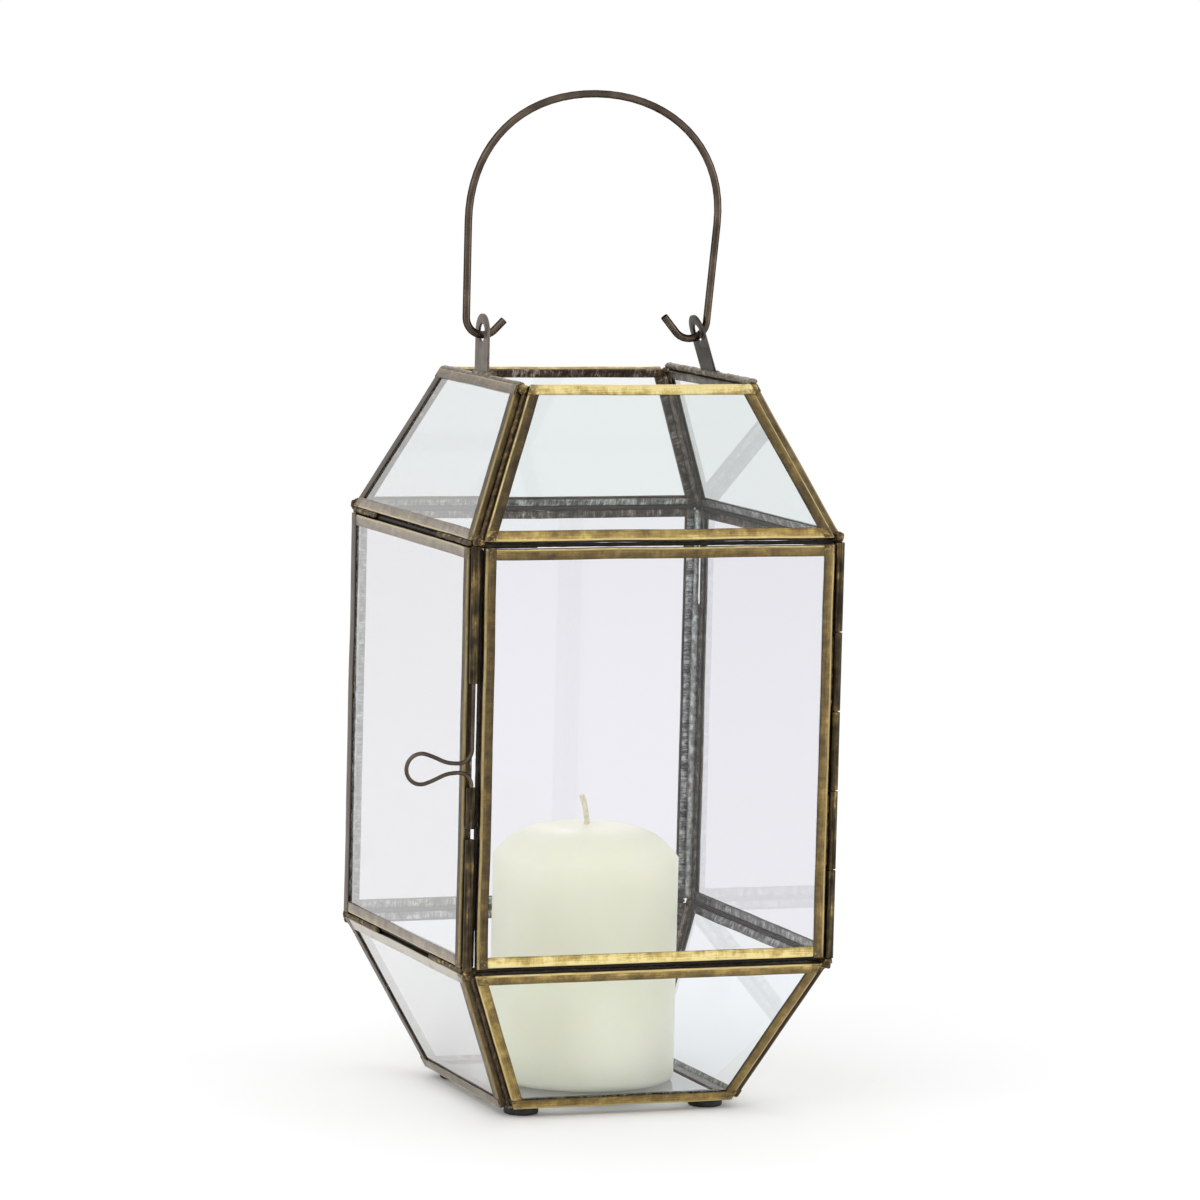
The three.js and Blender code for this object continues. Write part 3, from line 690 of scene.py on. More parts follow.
# %% [markdown]
# A leaning panel, an upright panel and the base are modelled flat, once for each set of widths, and the rest are
# copies. The corners of an outline run counter-clockwise, and each length is cut along the planes of its neighbours.
# %% Rings of channel
def channel_ring(corners, proud, widths):
    """Four lengths of channel on an outline that runs counter-clockwise in the XY plane."""
    lengths = []
    for k, corner in enumerate(corners):
        after = corners[(k + 1) % 4]
        along = (after - corner).normalized()
        inward = Vector((-along.y, along.x, 0))
        back = (corners[k - 1] - corner).normalized()
        forth = (corners[(k + 2) % 4] - after).normalized()
        lap = LAP if k in proud else 0
        reach = lap if k in proud else -TUCK
        start_normal = Vector((-back.dot(inward), back.dot(along), 0))
        end_normal = Vector((forth.dot(inward), -forth.dot(along), 0))
        length = (after - corner).length
        start = (start_normal * reach, start_normal)
        end = (Vector((length, 0, 0)) + end_normal * reach, end_normal)
        strip = channel_length(length, lap, start, end, widths[k])
        note_place(strip, start, end, k, widths[k])
        turn = Matrix((along, inward, (0, 0, 1))).transposed().to_4x4()
        strip.data.transform(Matrix.Translation(corner) @ turn)
        lengths.append(strip)
    return join(lengths, "ring")


def slanted_half(height):
    """Half the width of a leaning panel at a height up its slope."""
    slope = (WAIST_HALF - RIM_HALF) / SLOPE_LENGTH
    return WAIST_HALF - slope * height - SLANT_INSET * math.hypot(1, slope)


def outline(low, low_half, high, high_half):
    """The corners of a panel between two heights, from the lower left one round to the upper left one."""
    return [Vector((x, y, 0)) for x, y in ((-low_half, low), (low_half, low), (high_half, high), (-high_half, high))]


door_half = WAIST_HALF - UPRIGHT_INSET
leaning_corners = outline(WAIST_INSET, slanted_half(WAIST_INSET), SLOPE_LENGTH, slanted_half(SLOPE_LENGTH))
upright_corners = outline(WAIST_INSET, door_half, PRISM_HEIGHT - WAIST_INSET, door_half)
base_corners = outline(-BASE_HALF, BASE_HALF, BASE_HALF, BASE_HALF)
rings = {}
for kind, widths in RING_WIDTHS.items():
    rings["leaning", kind] = channel_ring(leaning_corners, {2}, widths)
    if kind != "wide_right":
        rings["upright", kind] = channel_ring(upright_corners, {1, 3}, widths)
base_ring = channel_ring(base_corners, {0, 2}, [BASE_WIDTHS] * 4)
print("faces in a leaning ring:", len(rings["leaning", "near"].data.polygons))

# %% [markdown]
# Hand work shows in the strips: each was rubbed back by another amount, and the bath stood deeper in some panels.
# How far each strip of the front, left and right panels was rubbed is listed, from 0 for bright gold to 1 for
# dark brown. The rails on the left kept a dull, greyish skin, though part of that grey is a painted reflection of the
# pale side that they face at a slant, and the left panels are also set darker, as painted shade against the strong
# light on that side. The panels behind are left to chance.
# %% Looks of the strips
# A strip that nothing is said about has a faintly dull skin and a bright fold.
FAINTLY_DULL = (0.15,) * 4
BRIGHT_FOLD = (0.8,) * 4
# For the waist rail, the right stile, the far rail and the left stile of a panel, as it is drawn flat:
# how dark the brass is, how dull and grey its skin looks, and how bright the fold is, worn by the cloth and painted as
# a highlight.
LOOKS = {
    "upper_front": ((0.34, 0.62, 0.1, 0.82), (0, 0, 0, 0), (1, 0.9, 1, 0.8)),
    "middle_front": ((0.12, 0.56, 0.58, 0.7), (0, 0, 0, 0), (1, 0.35, 1, 0.45)),
    "lower_front": ((0.44, 0.38, 0.38, 0.5), (0, 0, 0, 0), (1, 1, 0.8, 0.8)),
    # The left panels: their darker patina is partly painted shade, and their dull grey partly a painted reflection.
    "upper_left": ((0.48, 0.75, 0.6, 1), (0.85, 0, 0.6, 0.4), (0.8, 0.4, 0.5, 0.1)),
    "middle_left": ((0.45, 0.8, 0.42, 1), (0.85, 0.1, 0.9, 0.8), (0.7, 0.3, 0.6, 0.1)),
    "lower_left": ((0.05, 1, 0.5, 0.7), (1, 0.85, 0.85, 0.1), (0.3, 0, 0.5, 0.4)),
    "upper_right": ((0.5, 0.55, 0.45, 0.66), FAINTLY_DULL, (0.6, 0.6, 0.8, 0.35)),
    "middle_right": ((0.5, 0.5, 0.45, 0.7), FAINTLY_DULL, (0.8, 0.8, 0.8, 0.3)),
    "lower_right": ((0.5, 0.9, 0.5, 0.5), FAINTLY_DULL, (0.8, 0.1, 0.8, 0.8)),
}
# How dark the web is painted, as patina and as shade, in the same order. On the left it was cleaned at the corner next
# to the door.
WEBS = {
    "upper": (1, 0.35, 0.15, 0.35),
    "middle": (1, 0.8, 1, 0.8),
    "lower": (1, 0.85, 0.7, 0.85),
    "upper_left": (1, 0.2, 0.15, 0.35),
    "lower_left": (1, 0.6, 0.7, 0.4),
    "lower_right": (1, 1, 0.7, 0.85),
}
# How brown the bath left the inner side, in the same order: it stood deepest in the upper panels.
BATHS = {"upper": (0.2, 0.95, 1, 0.95), "middle": (0, 0.3, 0.9, 0.1), "lower": (0.05, 0.6, 0, 0.6)}
RIGHT_BATH = 0.35
# Between these two the dark of the panels behind is drawn by chance.
PATINA_BEHIND = (0.3, 0.65)
BASE_LOOKS = ((0.5, 0.6, 0.55, 0.6), (0.2,) * 4, (0.6,) * 4)
BASE_WEB = (1,) * 4
BASE_BATH = (0.9,) * 4
print("panels with looks of their own:", len(LOOKS))

# %% [markdown]
# Each panel stands on its waist: it is drawn flat there and tilted about that edge, then turned to its side.
# A lower panel is an upper one turned half round, so that its narrow rail is at the bottom.
# %% Places of the panels
SIDES = ["front", "right", "back", "left"]
# The height of each level's edge, the tilt about it, and the turn in the panel's own plane.
LEVELS = {
    "upper": (UPPER_WAIST, math.pi / 2 - SLANT, 0),
    "middle": (LOWER_WAIST, math.pi / 2, 0),
    "lower": (LOWER_WAIST, math.pi / 2 + SLANT, math.pi),
}


def turned_quarters(number):
    """The matrix that turns a piece drawn at the front by quarters round the lantern's middle line."""
    return Matrix.Translation((AXIS, 0, 0)) @ Matrix.Rotation(number * math.pi / 2, 4, "Z")


def panel_place(level, side):
    """The matrix that stands a flat panel of one level on one side."""
    edge, tilt, turn = LEVELS[level]
    place = turned_quarters(SIDES.index(side)) @ Matrix.Translation((0, -WAIST_HALF, edge))
    return place @ Matrix.Rotation(tilt, 4, "X") @ Matrix.Rotation(turn, 4, "Z")


print("panels:", len(LEVELS) * len(SIDES))

# %% [markdown]
# A frame is a copy of its ring, stood in its place. Each copy bends a little in its own way, by up to a quarter of a
# millimetre, with a displacement that wanders slowly, and gets the looks of its strips as attributes.
# %% Frames in their places
wander = bpy.data.textures.new("hand_wander", "CLOUDS")
wander.cloud_type = "COLOR"
wander.noise_scale = 30 * MM
wander.noise_depth = 1
WANDER = 0.5 * MM

chance = random.Random(7)


def copy_ring(ring, name, place, looks, web, bath):
    """A copy of a ring in its place, with its own wander and its own looks for each strip."""
    frame_piece = bpy.data.objects.new(name, ring.data.copy())
    bpy.context.scene.collection.objects.link(frame_piece)
    mesh = frame_piece.data
    mesh.name = name
    mesh.transform(place)
    for attribute, kind in (("strip_tone", "FLOAT_VECTOR"), ("strip_wear_and_highlight", "FLOAT"), ("strip_bath", "FLOAT")):
        mesh.attributes.new(attribute, kind, "POINT")
    tone, wear_and_highlight, brown = (mesh.attributes[n] for n in ("strip_tone", "strip_wear_and_highlight", "strip_bath"))
    number = mesh.attributes["strip_number"]
    dark, dull, bright = looks
    for k in range(len(mesh.vertices)):
        strip = round(number.data[k].value)
        tone.data[k].vector = (dark[strip], dull[strip], web[strip])
        wear_and_highlight.data[k].value = bright[strip]
        brown.data[k].value = bath[strip]
    mesh.attributes.remove(mesh.attributes["strip_number"])
    add_modifier(
        frame_piece,
        "DISPLACE",
        texture=wander,
        texture_coords="GLOBAL",
        direction="RGB_TO_XYZ",
        strength=WANDER,
        mid_level=0.5,
    )
    bpy.ops.object.shade_smooth_by_angle(angle=SMOOTH_ANGLE)
    return frame_piece


for level in LEVELS:
    for side in SIDES:
        shape = "upright" if level == "middle" else "leaning"
        wide = "wide_right" if level == "lower" else "wide_left"
        kind = {"front": "near", "left": wide}.get(side, "far")
        ring = rings[shape, kind]
        chosen = [chance.uniform(*PATINA_BEHIND) for _ in range(4)]
        looks = LOOKS.get(f"{level}_{side}", (chosen, FAINTLY_DULL, BRIGHT_FOLD))
        stem = "door" if (level, side) == ("middle", "front") else f"{level}_{side}"
        web = WEBS.get(f"{level}_{side}", WEBS[level])
        bath = [min(1, v + (RIGHT_BATH if side == "right" else 0)) for v in BATHS[level]]
        piece = copy_ring(ring, f"{stem}_channel", panel_place(level, side), looks, web, bath)
        finish_piece(piece, "door" if stem == "door" else "lantern", brass, "brass", f"{stem}_frame")
base_place = Matrix.Translation((AXIS, 0, BODY_BOTTOM)) @ Matrix.Rotation(math.pi, 4, "X")
base_piece = copy_ring(base_ring, "base_channel", base_place, BASE_LOOKS, BASE_WEB, BASE_BATH)
finish_piece(base_piece, "lantern", brass, "dark_brass", "base_frame")
for ring in (*rings.values(), base_ring):
    bpy.data.objects.remove(ring)
print("frames:", len(LEVELS) * len(SIDES) + 1)

# %% [markdown]
# Soft solder was melted into the corners and then blackened with the brass.
# It is lumpy and dull, with bright chips of brass colour where a file or the next panel scraped it.
# The lumps and chips are a little over 2 mm across, and a grain of two thirds of a millimetre roughens them.
# In the upright back corners the bath reached only the outside. How far a spot lies out from the middle of the
# lantern towards a corner, as the sum of its two distances from it, tells which side of the seam it is on.
# %% Blackened solder
SEAM_DEPTH = 2.9 * MM
SEAM_MIDDLE = door_half + WAIST_HALF - SEAM_DEPTH
SEAM_FADE = 0.5 * MM
GLOSS_SPAN = 0.25


def solder_skin(name, stops, metallic, dullest, bare=None):
    """Blackened solder. Bare gives its colours towards the candle, where the bath didn't reach."""
    material = new_material(name)
    where = add_node(material, "TexCoord").outputs["Object"]
    lumps = add_node(material, "TexNoise", {"Vector": where, "Scale": 420.0, "Detail": 5.0, "Roughness": 0.65})
    grain = add_node(material, "TexNoise", {"Vector": where, "Scale": 1500.0, "Detail": 3.0, "Roughness": 0.6})
    skin = add_node(material, "ValToRGB", {"Fac": lumps.outputs["Fac"]}, stops=stops).outputs[0]
    if bare:
        spread = add_node(material, "VectorMath", {0: where, 1: (AXIS, 0, 0)}, operation="SUBTRACT")
        spread = add_node(material, "VectorMath", {0: spread.outputs[0]}, operation="ABSOLUTE")
        spread = add_node(material, "VectorMath", {0: spread.outputs[0], 1: (1, 1, 0)}, operation="DOT_PRODUCT")
        inside = add_node(
            material,
            "MapRange",
            {
                "Value": spread.outputs["Value"],
                "From Min": SEAM_MIDDLE - SEAM_FADE,
                "From Max": SEAM_MIDDLE + SEAM_FADE,
                "To Min": 1.0,
                "To Max": 0.0,
            },
        )
        bright = add_node(material, "ValToRGB", {"Fac": lumps.outputs["Fac"]}, stops=bare)
        skin = add_node(
            material,
            "Mix",
            {FACTOR: inside.outputs[0], MIX_A: skin, MIX_B: bright.outputs[0]},
            data_type="RGBA",
        ).outputs[MIX_OUT]
    roughness = add_node(
        material,
        "MapRange",
        {"Value": grain.outputs["Fac"], **NOISE_SPAN, "To Min": dullest - GLOSS_SPAN, "To Max": dullest},
    )
    bump = add_node(material, "Bump", {"Height": lumps.outputs["Fac"], "Strength": 0.7, "Distance": 0.6 * MM})
    bump = add_node(
        material,
        "Bump",
        {"Height": grain.outputs["Fac"], "Strength": 0.5, "Distance": 0.15 * MM, "Normal": bump.outputs[0]},
    )
    metal = add_node(
        material,
        "BsdfPrincipled",
        {
            "Base Color": skin,
            "Metallic": metallic,
            "Roughness": roughness.outputs[0],
            "Normal": bump.outputs[0],
        },
    )
    add_node(material, "OutputMaterial", {"Surface": metal.outputs[0]})
    return material


print("the seam's middle lies out by", round(SEAM_MIDDLE / MM, 1), "mm")

# %% [markdown]
# Each place left the solder another skin. In the waist corners it is blackened, with chips scraped bright.
# Deep in the waists and behind the stiles it is near black: tarnished solder, painted darker still as the shade in
# those gaps. In the front valleys it is smooth and brown. It was rubbed to brass at the front corners of the rim, and
# is dull and greyish at the ears and in the back valleys.
# %% Skins of solder
solder = solder_skin(
    "blackened_soft_solder",
    [(0.3, "2c251d"), (0.45, "463a2b"), (0.55, "5f4f38"), (0.61, "8d774d"), (0.68, "d6bd80")],
    metallic=1.0,
    dullest=0.6,
)
# Near black: tarnished solder, painted darker as the shade deep in the waists and behind the stiles.
deep_solder_and_shade = solder_skin(
    "tarnished_and_shaded_deep_solder",
    [(0.3, "1c1713"), (0.5, "2a231b"), (0.65, "3a3024"), (0.8, "54452f")],
    metallic=0.4,
    dullest=0.75,
)
valley_solder = solder_skin(
    "smooth_valley_solder",
    [(0.3, "2b241c"), (0.47, "4a3d2b"), (0.6, "665438"), (0.7, "9a7f50")],
    metallic=0.7,
    dullest=0.65,
)
brassy_solder = solder_skin(
    "rubbed_solder",
    [(0.3, "41362a"), (0.45, "6b5a3e"), (0.56, "927d50"), (0.65, "b8a066"), (0.74, "e3d29a")],
    metallic=1.0,
    dullest=0.55,
)
rim_solder = solder_skin(
    "dull_rim_solder",
    [(0.3, "3f3831"), (0.43, "635a50"), (0.54, "7d7265"), (0.64, "998f7d"), (0.74, "c2b79d")],
    metallic=0.8,
    dullest=0.62,
)
seam_solder = solder_skin(
    "half_blackened_solder",
    [(0.3, "2c251d"), (0.45, "463a2b"), (0.58, "5f4f38"), (0.66, "86714a"), (0.74, "c9b074")],
    metallic=1.0,
    dullest=0.6,
    bare=[(0.3, "5b5955"), (0.43, "83827f"), (0.54, "a2a4a2"), (0.65, "c6cbc8")],
)
print("skins of solder:", sum("solder" in material.name for material in bpy.data.materials))

# %% [markdown]
# A run of solder starts as a thin cylinder along its seam. It is cut into short rings, its ends are drawn in,
# and two displacements make it lumpy: a slow one of several millimetres and a quick one of less than a millimetre.
# A blob at a corner is made in the same way from a sphere. How high the lumps stand goes by the radius.
# %% Solder runs and blobs
slow_lumps = bpy.data.textures.new("slow_lumps", "CLOUDS")
slow_lumps.noise_scale = 4 * MM
quick_lumps = bpy.data.textures.new("quick_lumps", "CLOUDS")
quick_lumps.noise_scale = 1.1 * MM
quick_lumps.noise_depth = 2
RING_SPACING = 0.7 * MM
END_SHARE = 0.45
RUN_LUMPS = (0.9, 0.7)
BLOB_LUMPS = (0.5, 0.3)


def roughen(piece, height, shares):
    """Makes a piece lumpy. The shares of the height are for the slow and for the quick lumps."""
    for texture, share in zip((slow_lumps, quick_lumps), shares):
        add_modifier(
            piece,
            "DISPLACE",
            texture=texture,
            texture_coords="GLOBAL",
            strength=share * height,
            mid_level=0.5,
        )
    bpy.ops.object.shade_smooth()


def solder_run(start, end, radius, flat=1.0, lumps=1.0):
    """A run of solder between two points. Flat presses it in its own Y, and lumps says how uneven it is."""
    clear_selection()
    length = (end - start).length
    bpy.ops.mesh.primitive_cylinder_add(vertices=12, radius=radius, depth=length)
    run = bpy.context.object
    bpy.ops.object.mode_set(mode="EDIT")
    choose("EDGE", lambda e: abs(e.verts[0].co.z - e.verts[1].co.z) > length / 2)
    bpy.ops.mesh.subdivide(number_cuts=max(2, int(length / RING_SPACING)))
    for end_z in (-length / 2, length / 2):
        choose("VERT", lambda v: abs(v.co.z - end_z) < TOUCH)
        bpy.ops.transform.resize(value=(END_SHARE, END_SHARE, 1))
    bpy.ops.mesh.select_all(action="SELECT")
    bpy.ops.transform.resize(value=(1, flat, 1))
    bpy.ops.object.mode_set(mode="OBJECT")
    turn = (end - start).to_track_quat("Z", "Y").to_matrix().to_4x4()
    run.data.transform(Matrix.Translation((start + end) / 2) @ turn)
    roughen(run, radius * lumps, RUN_LUMPS)
    return run


def solder_blob(centre, radius, squeeze=(1, 1, 1), lumps=1.0):
    """A lump of solder that fills a corner."""
    clear_selection()
    bpy.ops.mesh.primitive_ico_sphere_add(subdivisions=5, radius=radius)
    blob = bpy.context.object
    bpy.ops.object.mode_set(mode="EDIT")
    bpy.ops.mesh.select_all(action="SELECT")
    bpy.ops.transform.resize(value=squeeze)
    bpy.ops.object.mode_set(mode="OBJECT")
    blob.data.transform(Matrix.Translation(centre))
    roughen(blob, radius * lumps, BLOB_LUMPS)
    return blob


print("radius of a run's ends, as a share:", END_SHARE)

# %% [markdown]
# At each corner a blob fills the point of the waist, and a run lies in the valley between two leaning panels.
# The valleys in front are narrow and deep. Those behind are filled wider and nearer to the outer faces.
# Two panels meet at an angle, so the middle of a valley lies halfway between the same point on both of them.
# %% Solder joints at the corners
CORNERS = ["front_right", "back_right", "back_left", "front_left"]
# The height of each waist, and the direction away from the door.
WAISTS = {"upper": (UPPER_WAIST, 1), "lower": (LOWER_WAIST, -1)}
WAIST_BLOB = 2.6 * MM
WAIST_BLOB_IN = 2.9 * MM
WAIST_BLOB_AWAY = 1.1 * MM
WAIST_BLOB_LUMPS = 1.5
VALLEY_FOOT = 3 * MM
VALLEY_HEAD = 2 * MM
RIM_BLOB = 2.0 * MM
RIM_BLOB_IN = 1.9 * MM
RIM_BLOB_DOWN = 2.0 * MM
RIM_BLOB_LUMPS = 1.3
# The squeeze of the blob, then the depth, the radius, the lumps and the skin of the run.
FRONT_JOINT = ((0.9, 0.9, 0.85), 3.2 * MM, 1.0 * MM, 0.2, valley_solder)
BACK_JOINT = ((0.88, 0.88, 1.05), 2.7 * MM, 1.35 * MM, 0.4, rim_solder)


def valley_point(level, number, height, depth):
    """The middle of the valley between side number and the next one, at a height up their panels."""
    half = {"middle": door_half}.get(level, slanted_half(height))
    hand = -1 if level == "lower" else 1
    first = panel_place(level, SIDES[number]) @ Vector((hand * half, height, -depth))
    second = panel_place(level, SIDES[(number + 1) % 4]) @ Vector((-hand * half, height, -depth))
    return (first + second) / 2


for number, corner in enumerate(CORNERS):
    turned = turned_quarters(number)
    squeeze, depth, radius, lumps, skin = BACK_JOINT if corner.startswith("back") else FRONT_JOINT
    for waist, (height, away) in WAISTS.items():
        aside = WAIST_HALF - WAIST_BLOB_IN
        centre = turned @ Vector((aside, -aside, height + away * WAIST_BLOB_AWAY))
        blob = solder_blob(centre, WAIST_BLOB, squeeze, lumps=WAIST_BLOB_LUMPS)
        low = valley_point(waist, number, VALLEY_FOOT, depth)
        high = valley_point(waist, number, SLOPE_LENGTH - VALLEY_HEAD, depth)
        run = solder_run(low, high, radius, lumps=lumps)
        blob.data.materials.append(solder)
        run.data.materials.append(skin)
        joint = join([blob, run], f"solder_joint_{waist}_{corner}")
        finish_piece(joint, "lantern", None, "solder", f"solder_{waist}_{corner}")
    aside = RIM_HALF - RIM_BLOB_IN
    blob = solder_blob(turned @ Vector((aside, -aside, RIM - RIM_BLOB_DOWN)), RIM_BLOB, lumps=RIM_BLOB_LUMPS)
    blob.name = f"solder_joint_rim_{corner}"
    rubbed = brassy_solder if corner.startswith("front") else solder
    finish_piece(blob, "lantern", rubbed, "solder", f"solder_rim_{corner}")
print("solder joints:", 3 * len(CORNERS))

# %% [markdown]
# Between the leaning and the upright panels the solder lies deep in the waist. It is painted near black, as the shade
# in that gap, and it closes the gap against the light.
# Near the corners of the three fixed sides it fills the gap almost to the outer faces.
# Over and under the door it is only a lip on the leaning frame. Over the door it is thin, and light shows below it,
# except at the latch end, where a second run closes the gap.
# %% Solder in the waists
# The depth, the drop from the middle of the gap, and the radius of a run in a fixed side, and of a lip at the door.
DEEP_RUN = (2.8 * MM, 0.6 * MM, 1.0 * MM)
LIPS = {"upper": (4.2 * MM, 0.6 * MM, 0.75 * MM), "lower": (4.5 * MM, 0.35 * MM, 1.1 * MM)}
RUN_LUMPINESS = 0.3
LIP_END = 24 * MM
LIP_END_DROP = 0.95 * MM
TUBE_GAP = 2.5 * MM
SHALLOW_DEPTH = 1.4 * MM
SHALLOW_RUN = 1.1 * MM
SHALLOW_LUMPINESS = 0.6
FILLED_SHARE = 0.27
FILLED_SPREAD = (0.7, 1.2)
for side_number, side in enumerate(SIDES):
    turned = turned_quarters(side_number)
    on_door = side == "front"
    run_half = WAIST_HALF - (TUBE_GAP if on_door else UPRIGHT_INSET)
    for waist, (height, away) in WAISTS.items():
        depth, drop, radius = LIPS[waist] if on_door else DEEP_RUN
        # Each run is given by its ends along the side, its depth and height, its radius, lumps and skin.
        deep = (-WAIST_HALF + depth, height - away * drop)
        runs = [(-run_half, run_half, deep, radius, RUN_LUMPINESS, deep_solder_and_shade)]
        if on_door and waist == "upper":
            closing = (deep[0], height - LIP_END_DROP)
            runs.append((-run_half, LIP_END - run_half, closing, radius, RUN_LUMPINESS, deep_solder_and_shade))
        if not on_door:
            shallow = (-WAIST_HALF + SHALLOW_DEPTH, height)
            for hand in (-1, 1):
                filled_to = hand * run_half * (1 - 2 * FILLED_SHARE * chance.uniform(*FILLED_SPREAD))
                runs.append((hand * run_half, filled_to, shallow, SHALLOW_RUN, SHALLOW_LUMPINESS, solder))
        parts = []
        for first, last, place, thickness, lumps, skin in runs:
            start, end = turned @ Vector((first, *place)), turned @ Vector((last, *place))
            part = solder_run(start, end, thickness, lumps=lumps)
            part.data.materials.append(skin)
            parts.append(part)
        fill = join(parts, f"waist_solder_{waist}_{side}")
        finish_piece(fill, "lantern", None, "solder")
print("waist runs:", len(WAISTS) * len(SIDES))

# %% [markdown]
# In the two back corners a run joins the upright frames. It was laid by eye in stretches, and where one came out
# thin, or two don't quite meet, light shows beside it.
# Each stretch is given in millimetres: its foot and head above the lower waist, its radius, and how far it lies aside.
# %% Solder in the upright back corners
UPRIGHT_RUNS = {
    "back_right": [(1.5, 60, 1.7, 0), (58, 118, 1.75, 0), (117, 141.5, 1.15, 0.35), (141, 154.8, 1.75, 0)],
    "back_left": [(1.5, 48, 1.6, 0), (48.6, 103, 1.55, 0), (102, 154.8, 1.65, 0)],
}
for corner, stretches in UPRIGHT_RUNS.items():
    number = CORNERS.index(corner)
    parts = []
    for low, high, radius, aside in stretches:
        shift = Vector((-aside * MM, 0, 0))
        start = valley_point("middle", number, low * MM, SEAM_DEPTH) + shift
        end = valley_point("middle", number, high * MM, SEAM_DEPTH) + shift
        parts.append(solder_run(start, end, radius * MM, lumps=RUN_LUMPINESS))
    seam = join(parts, f"upright_solder_{corner}")
    finish_piece(seam, "lantern", seam_solder, "solder")
print("stretches of solder in the back corners:", sum(len(runs) for runs in UPRIGHT_RUNS.values()))

# %% [markdown]
# Hinge knuckles and latch tubes are short lengths of thin drawn brass tube.
# They are dark, with long gold scratches from drawing them and from the wire that turns in them:
# the scratches are about two thirds of a millimetre wide and fourteen millimetres long.
# %% Darkened brass tube
SCRATCHES = (1500.0, 1500.0, 70.0)


def tube_brass():
    material = new_material("darkened_brass_tube")
    where = add_node(material, "TexCoord").outputs["Object"]
    stretched = add_node(material, "VectorMath", {0: where, 1: SCRATCHES}, operation="MULTIPLY")
    scratch = add_node(material, "TexNoise", {"Vector": stretched.outputs[0], "Scale": 1.0, "Detail": 3.0})
    blotch = add_node(material, "TexNoise", {"Vector": where, "Scale": 160.0, "Detail": 4.0, "Roughness": 0.6})
    mixed = add_node(material, "Math", {0: scratch.outputs["Fac"], 1: blotch.outputs["Fac"]}, operation="ADD")
    shade = add_node(material, "MapRange", {"Value": mixed.outputs[0], "From Min": 0.7, "From Max": 1.35})
    skin = add_node(
        material,
        "ValToRGB",
        {"Fac": shade.outputs[0]},
        stops=[(0.15, "2b251e"), (0.4, "3e3629"), (0.62, "514632"), (0.82, "73613f"), (0.95, "ab9159")],
    )
    roughness = add_node(material, "MapRange", {"Value": scratch.outputs["Fac"], "To Min": 0.3, "To Max": 0.6})
    bump = add_node(material, "Bump", {"Height": scratch.outputs["Fac"], "Strength": 0.3, "Distance": 0.05 * MM})
    metal = add_node(
        material,
        "BsdfPrincipled",
        {
            "Base Color": skin.outputs[0],
            "Metallic": 1.0,
            "Roughness": roughness.outputs[0],
            "Normal": bump.outputs[0],
        },
    )
    add_node(material, "OutputMaterial", {"Surface": metal.outputs[0]})
    return material


tube_metal = tube_brass()
print(tube_metal.name, "has", len(tube_metal.node_tree.nodes), "nodes")

# %% [markdown]
# A cylinder's two end faces are inset by the wall thickness and bridged to open the bore, then the rims are bevelled.
# %% One open tube
TUBE_RADIUS = 1.8 * MM
TUBE_BORE = 1.15 * MM
TUBE_RIM = 0.15 * MM


def open_tube(centre, low, high):
    """A tube round an upright line, from one height to another."""
    clear_selection()
    bpy.ops.mesh.primitive_cylinder_add(vertices=32, radius=TUBE_RADIUS, depth=high - low)
    tube = bpy.context.object
    bpy.ops.object.mode_set(mode="EDIT")
    choose("FACE", lambda f: abs(f.normal.z) > 0.9)
    bpy.ops.mesh.inset(thickness=TUBE_RADIUS - TUBE_BORE)
    bpy.ops.mesh.bridge_edge_loops()
    bpy.ops.mesh.select_all(action="SELECT")
    bpy.ops.mesh.normals_make_consistent(inside=False)
    bpy.ops.object.mode_set(mode="OBJECT")
    tube.data.transform(Matrix.Translation((centre.x, centre.y, (low + high) / 2)))
    add_modifier(tube, "BEVEL", width=TUBE_RIM, segments=2, limit_method="ANGLE", angle_limit=BEVEL_ANGLE)
    bpy.ops.object.shade_smooth_by_angle(angle=SMOOTH_ANGLE)
    return tube


print("wall of a tube in mm:", round((TUBE_RADIUS - TUBE_BORE) / MM, 2))

# %% [markdown]
# The tubes stand in the two front corners: the latch's on the left, and the five knuckles of the hinge on the right.
# A thin run of solder holds each one to its strip. The outermost tubes run into the solder of the waists.
# Here is each tube with the body that it moves with.
# %% Tubes in the front corners
TUBE_INSET = 2.2 * MM
TUBE_AXIS = WAIST_HALF - TUBE_INSET
NEAR_WAIST = 8 * MM
INTO_WAIST = 0.6 * MM
HELD_OUT = 0.5 * MM
HELD_SHORT = 0.8 * MM
HELD_RUN = 0.85 * MM
HELD_LUMPINESS = 0.6
TUBES = {
    "latch_upper_tube": "lantern",
    "latch_sleeve": "lantern",
    "latch_lower_tube": "lantern",
    "fixed_knuckle_1": "lantern",
    "door_knuckle_2": "door",
    "fixed_knuckle_3": "lantern",
    "door_knuckle_4": "door",
    "fixed_knuckle_5": "lantern",
}
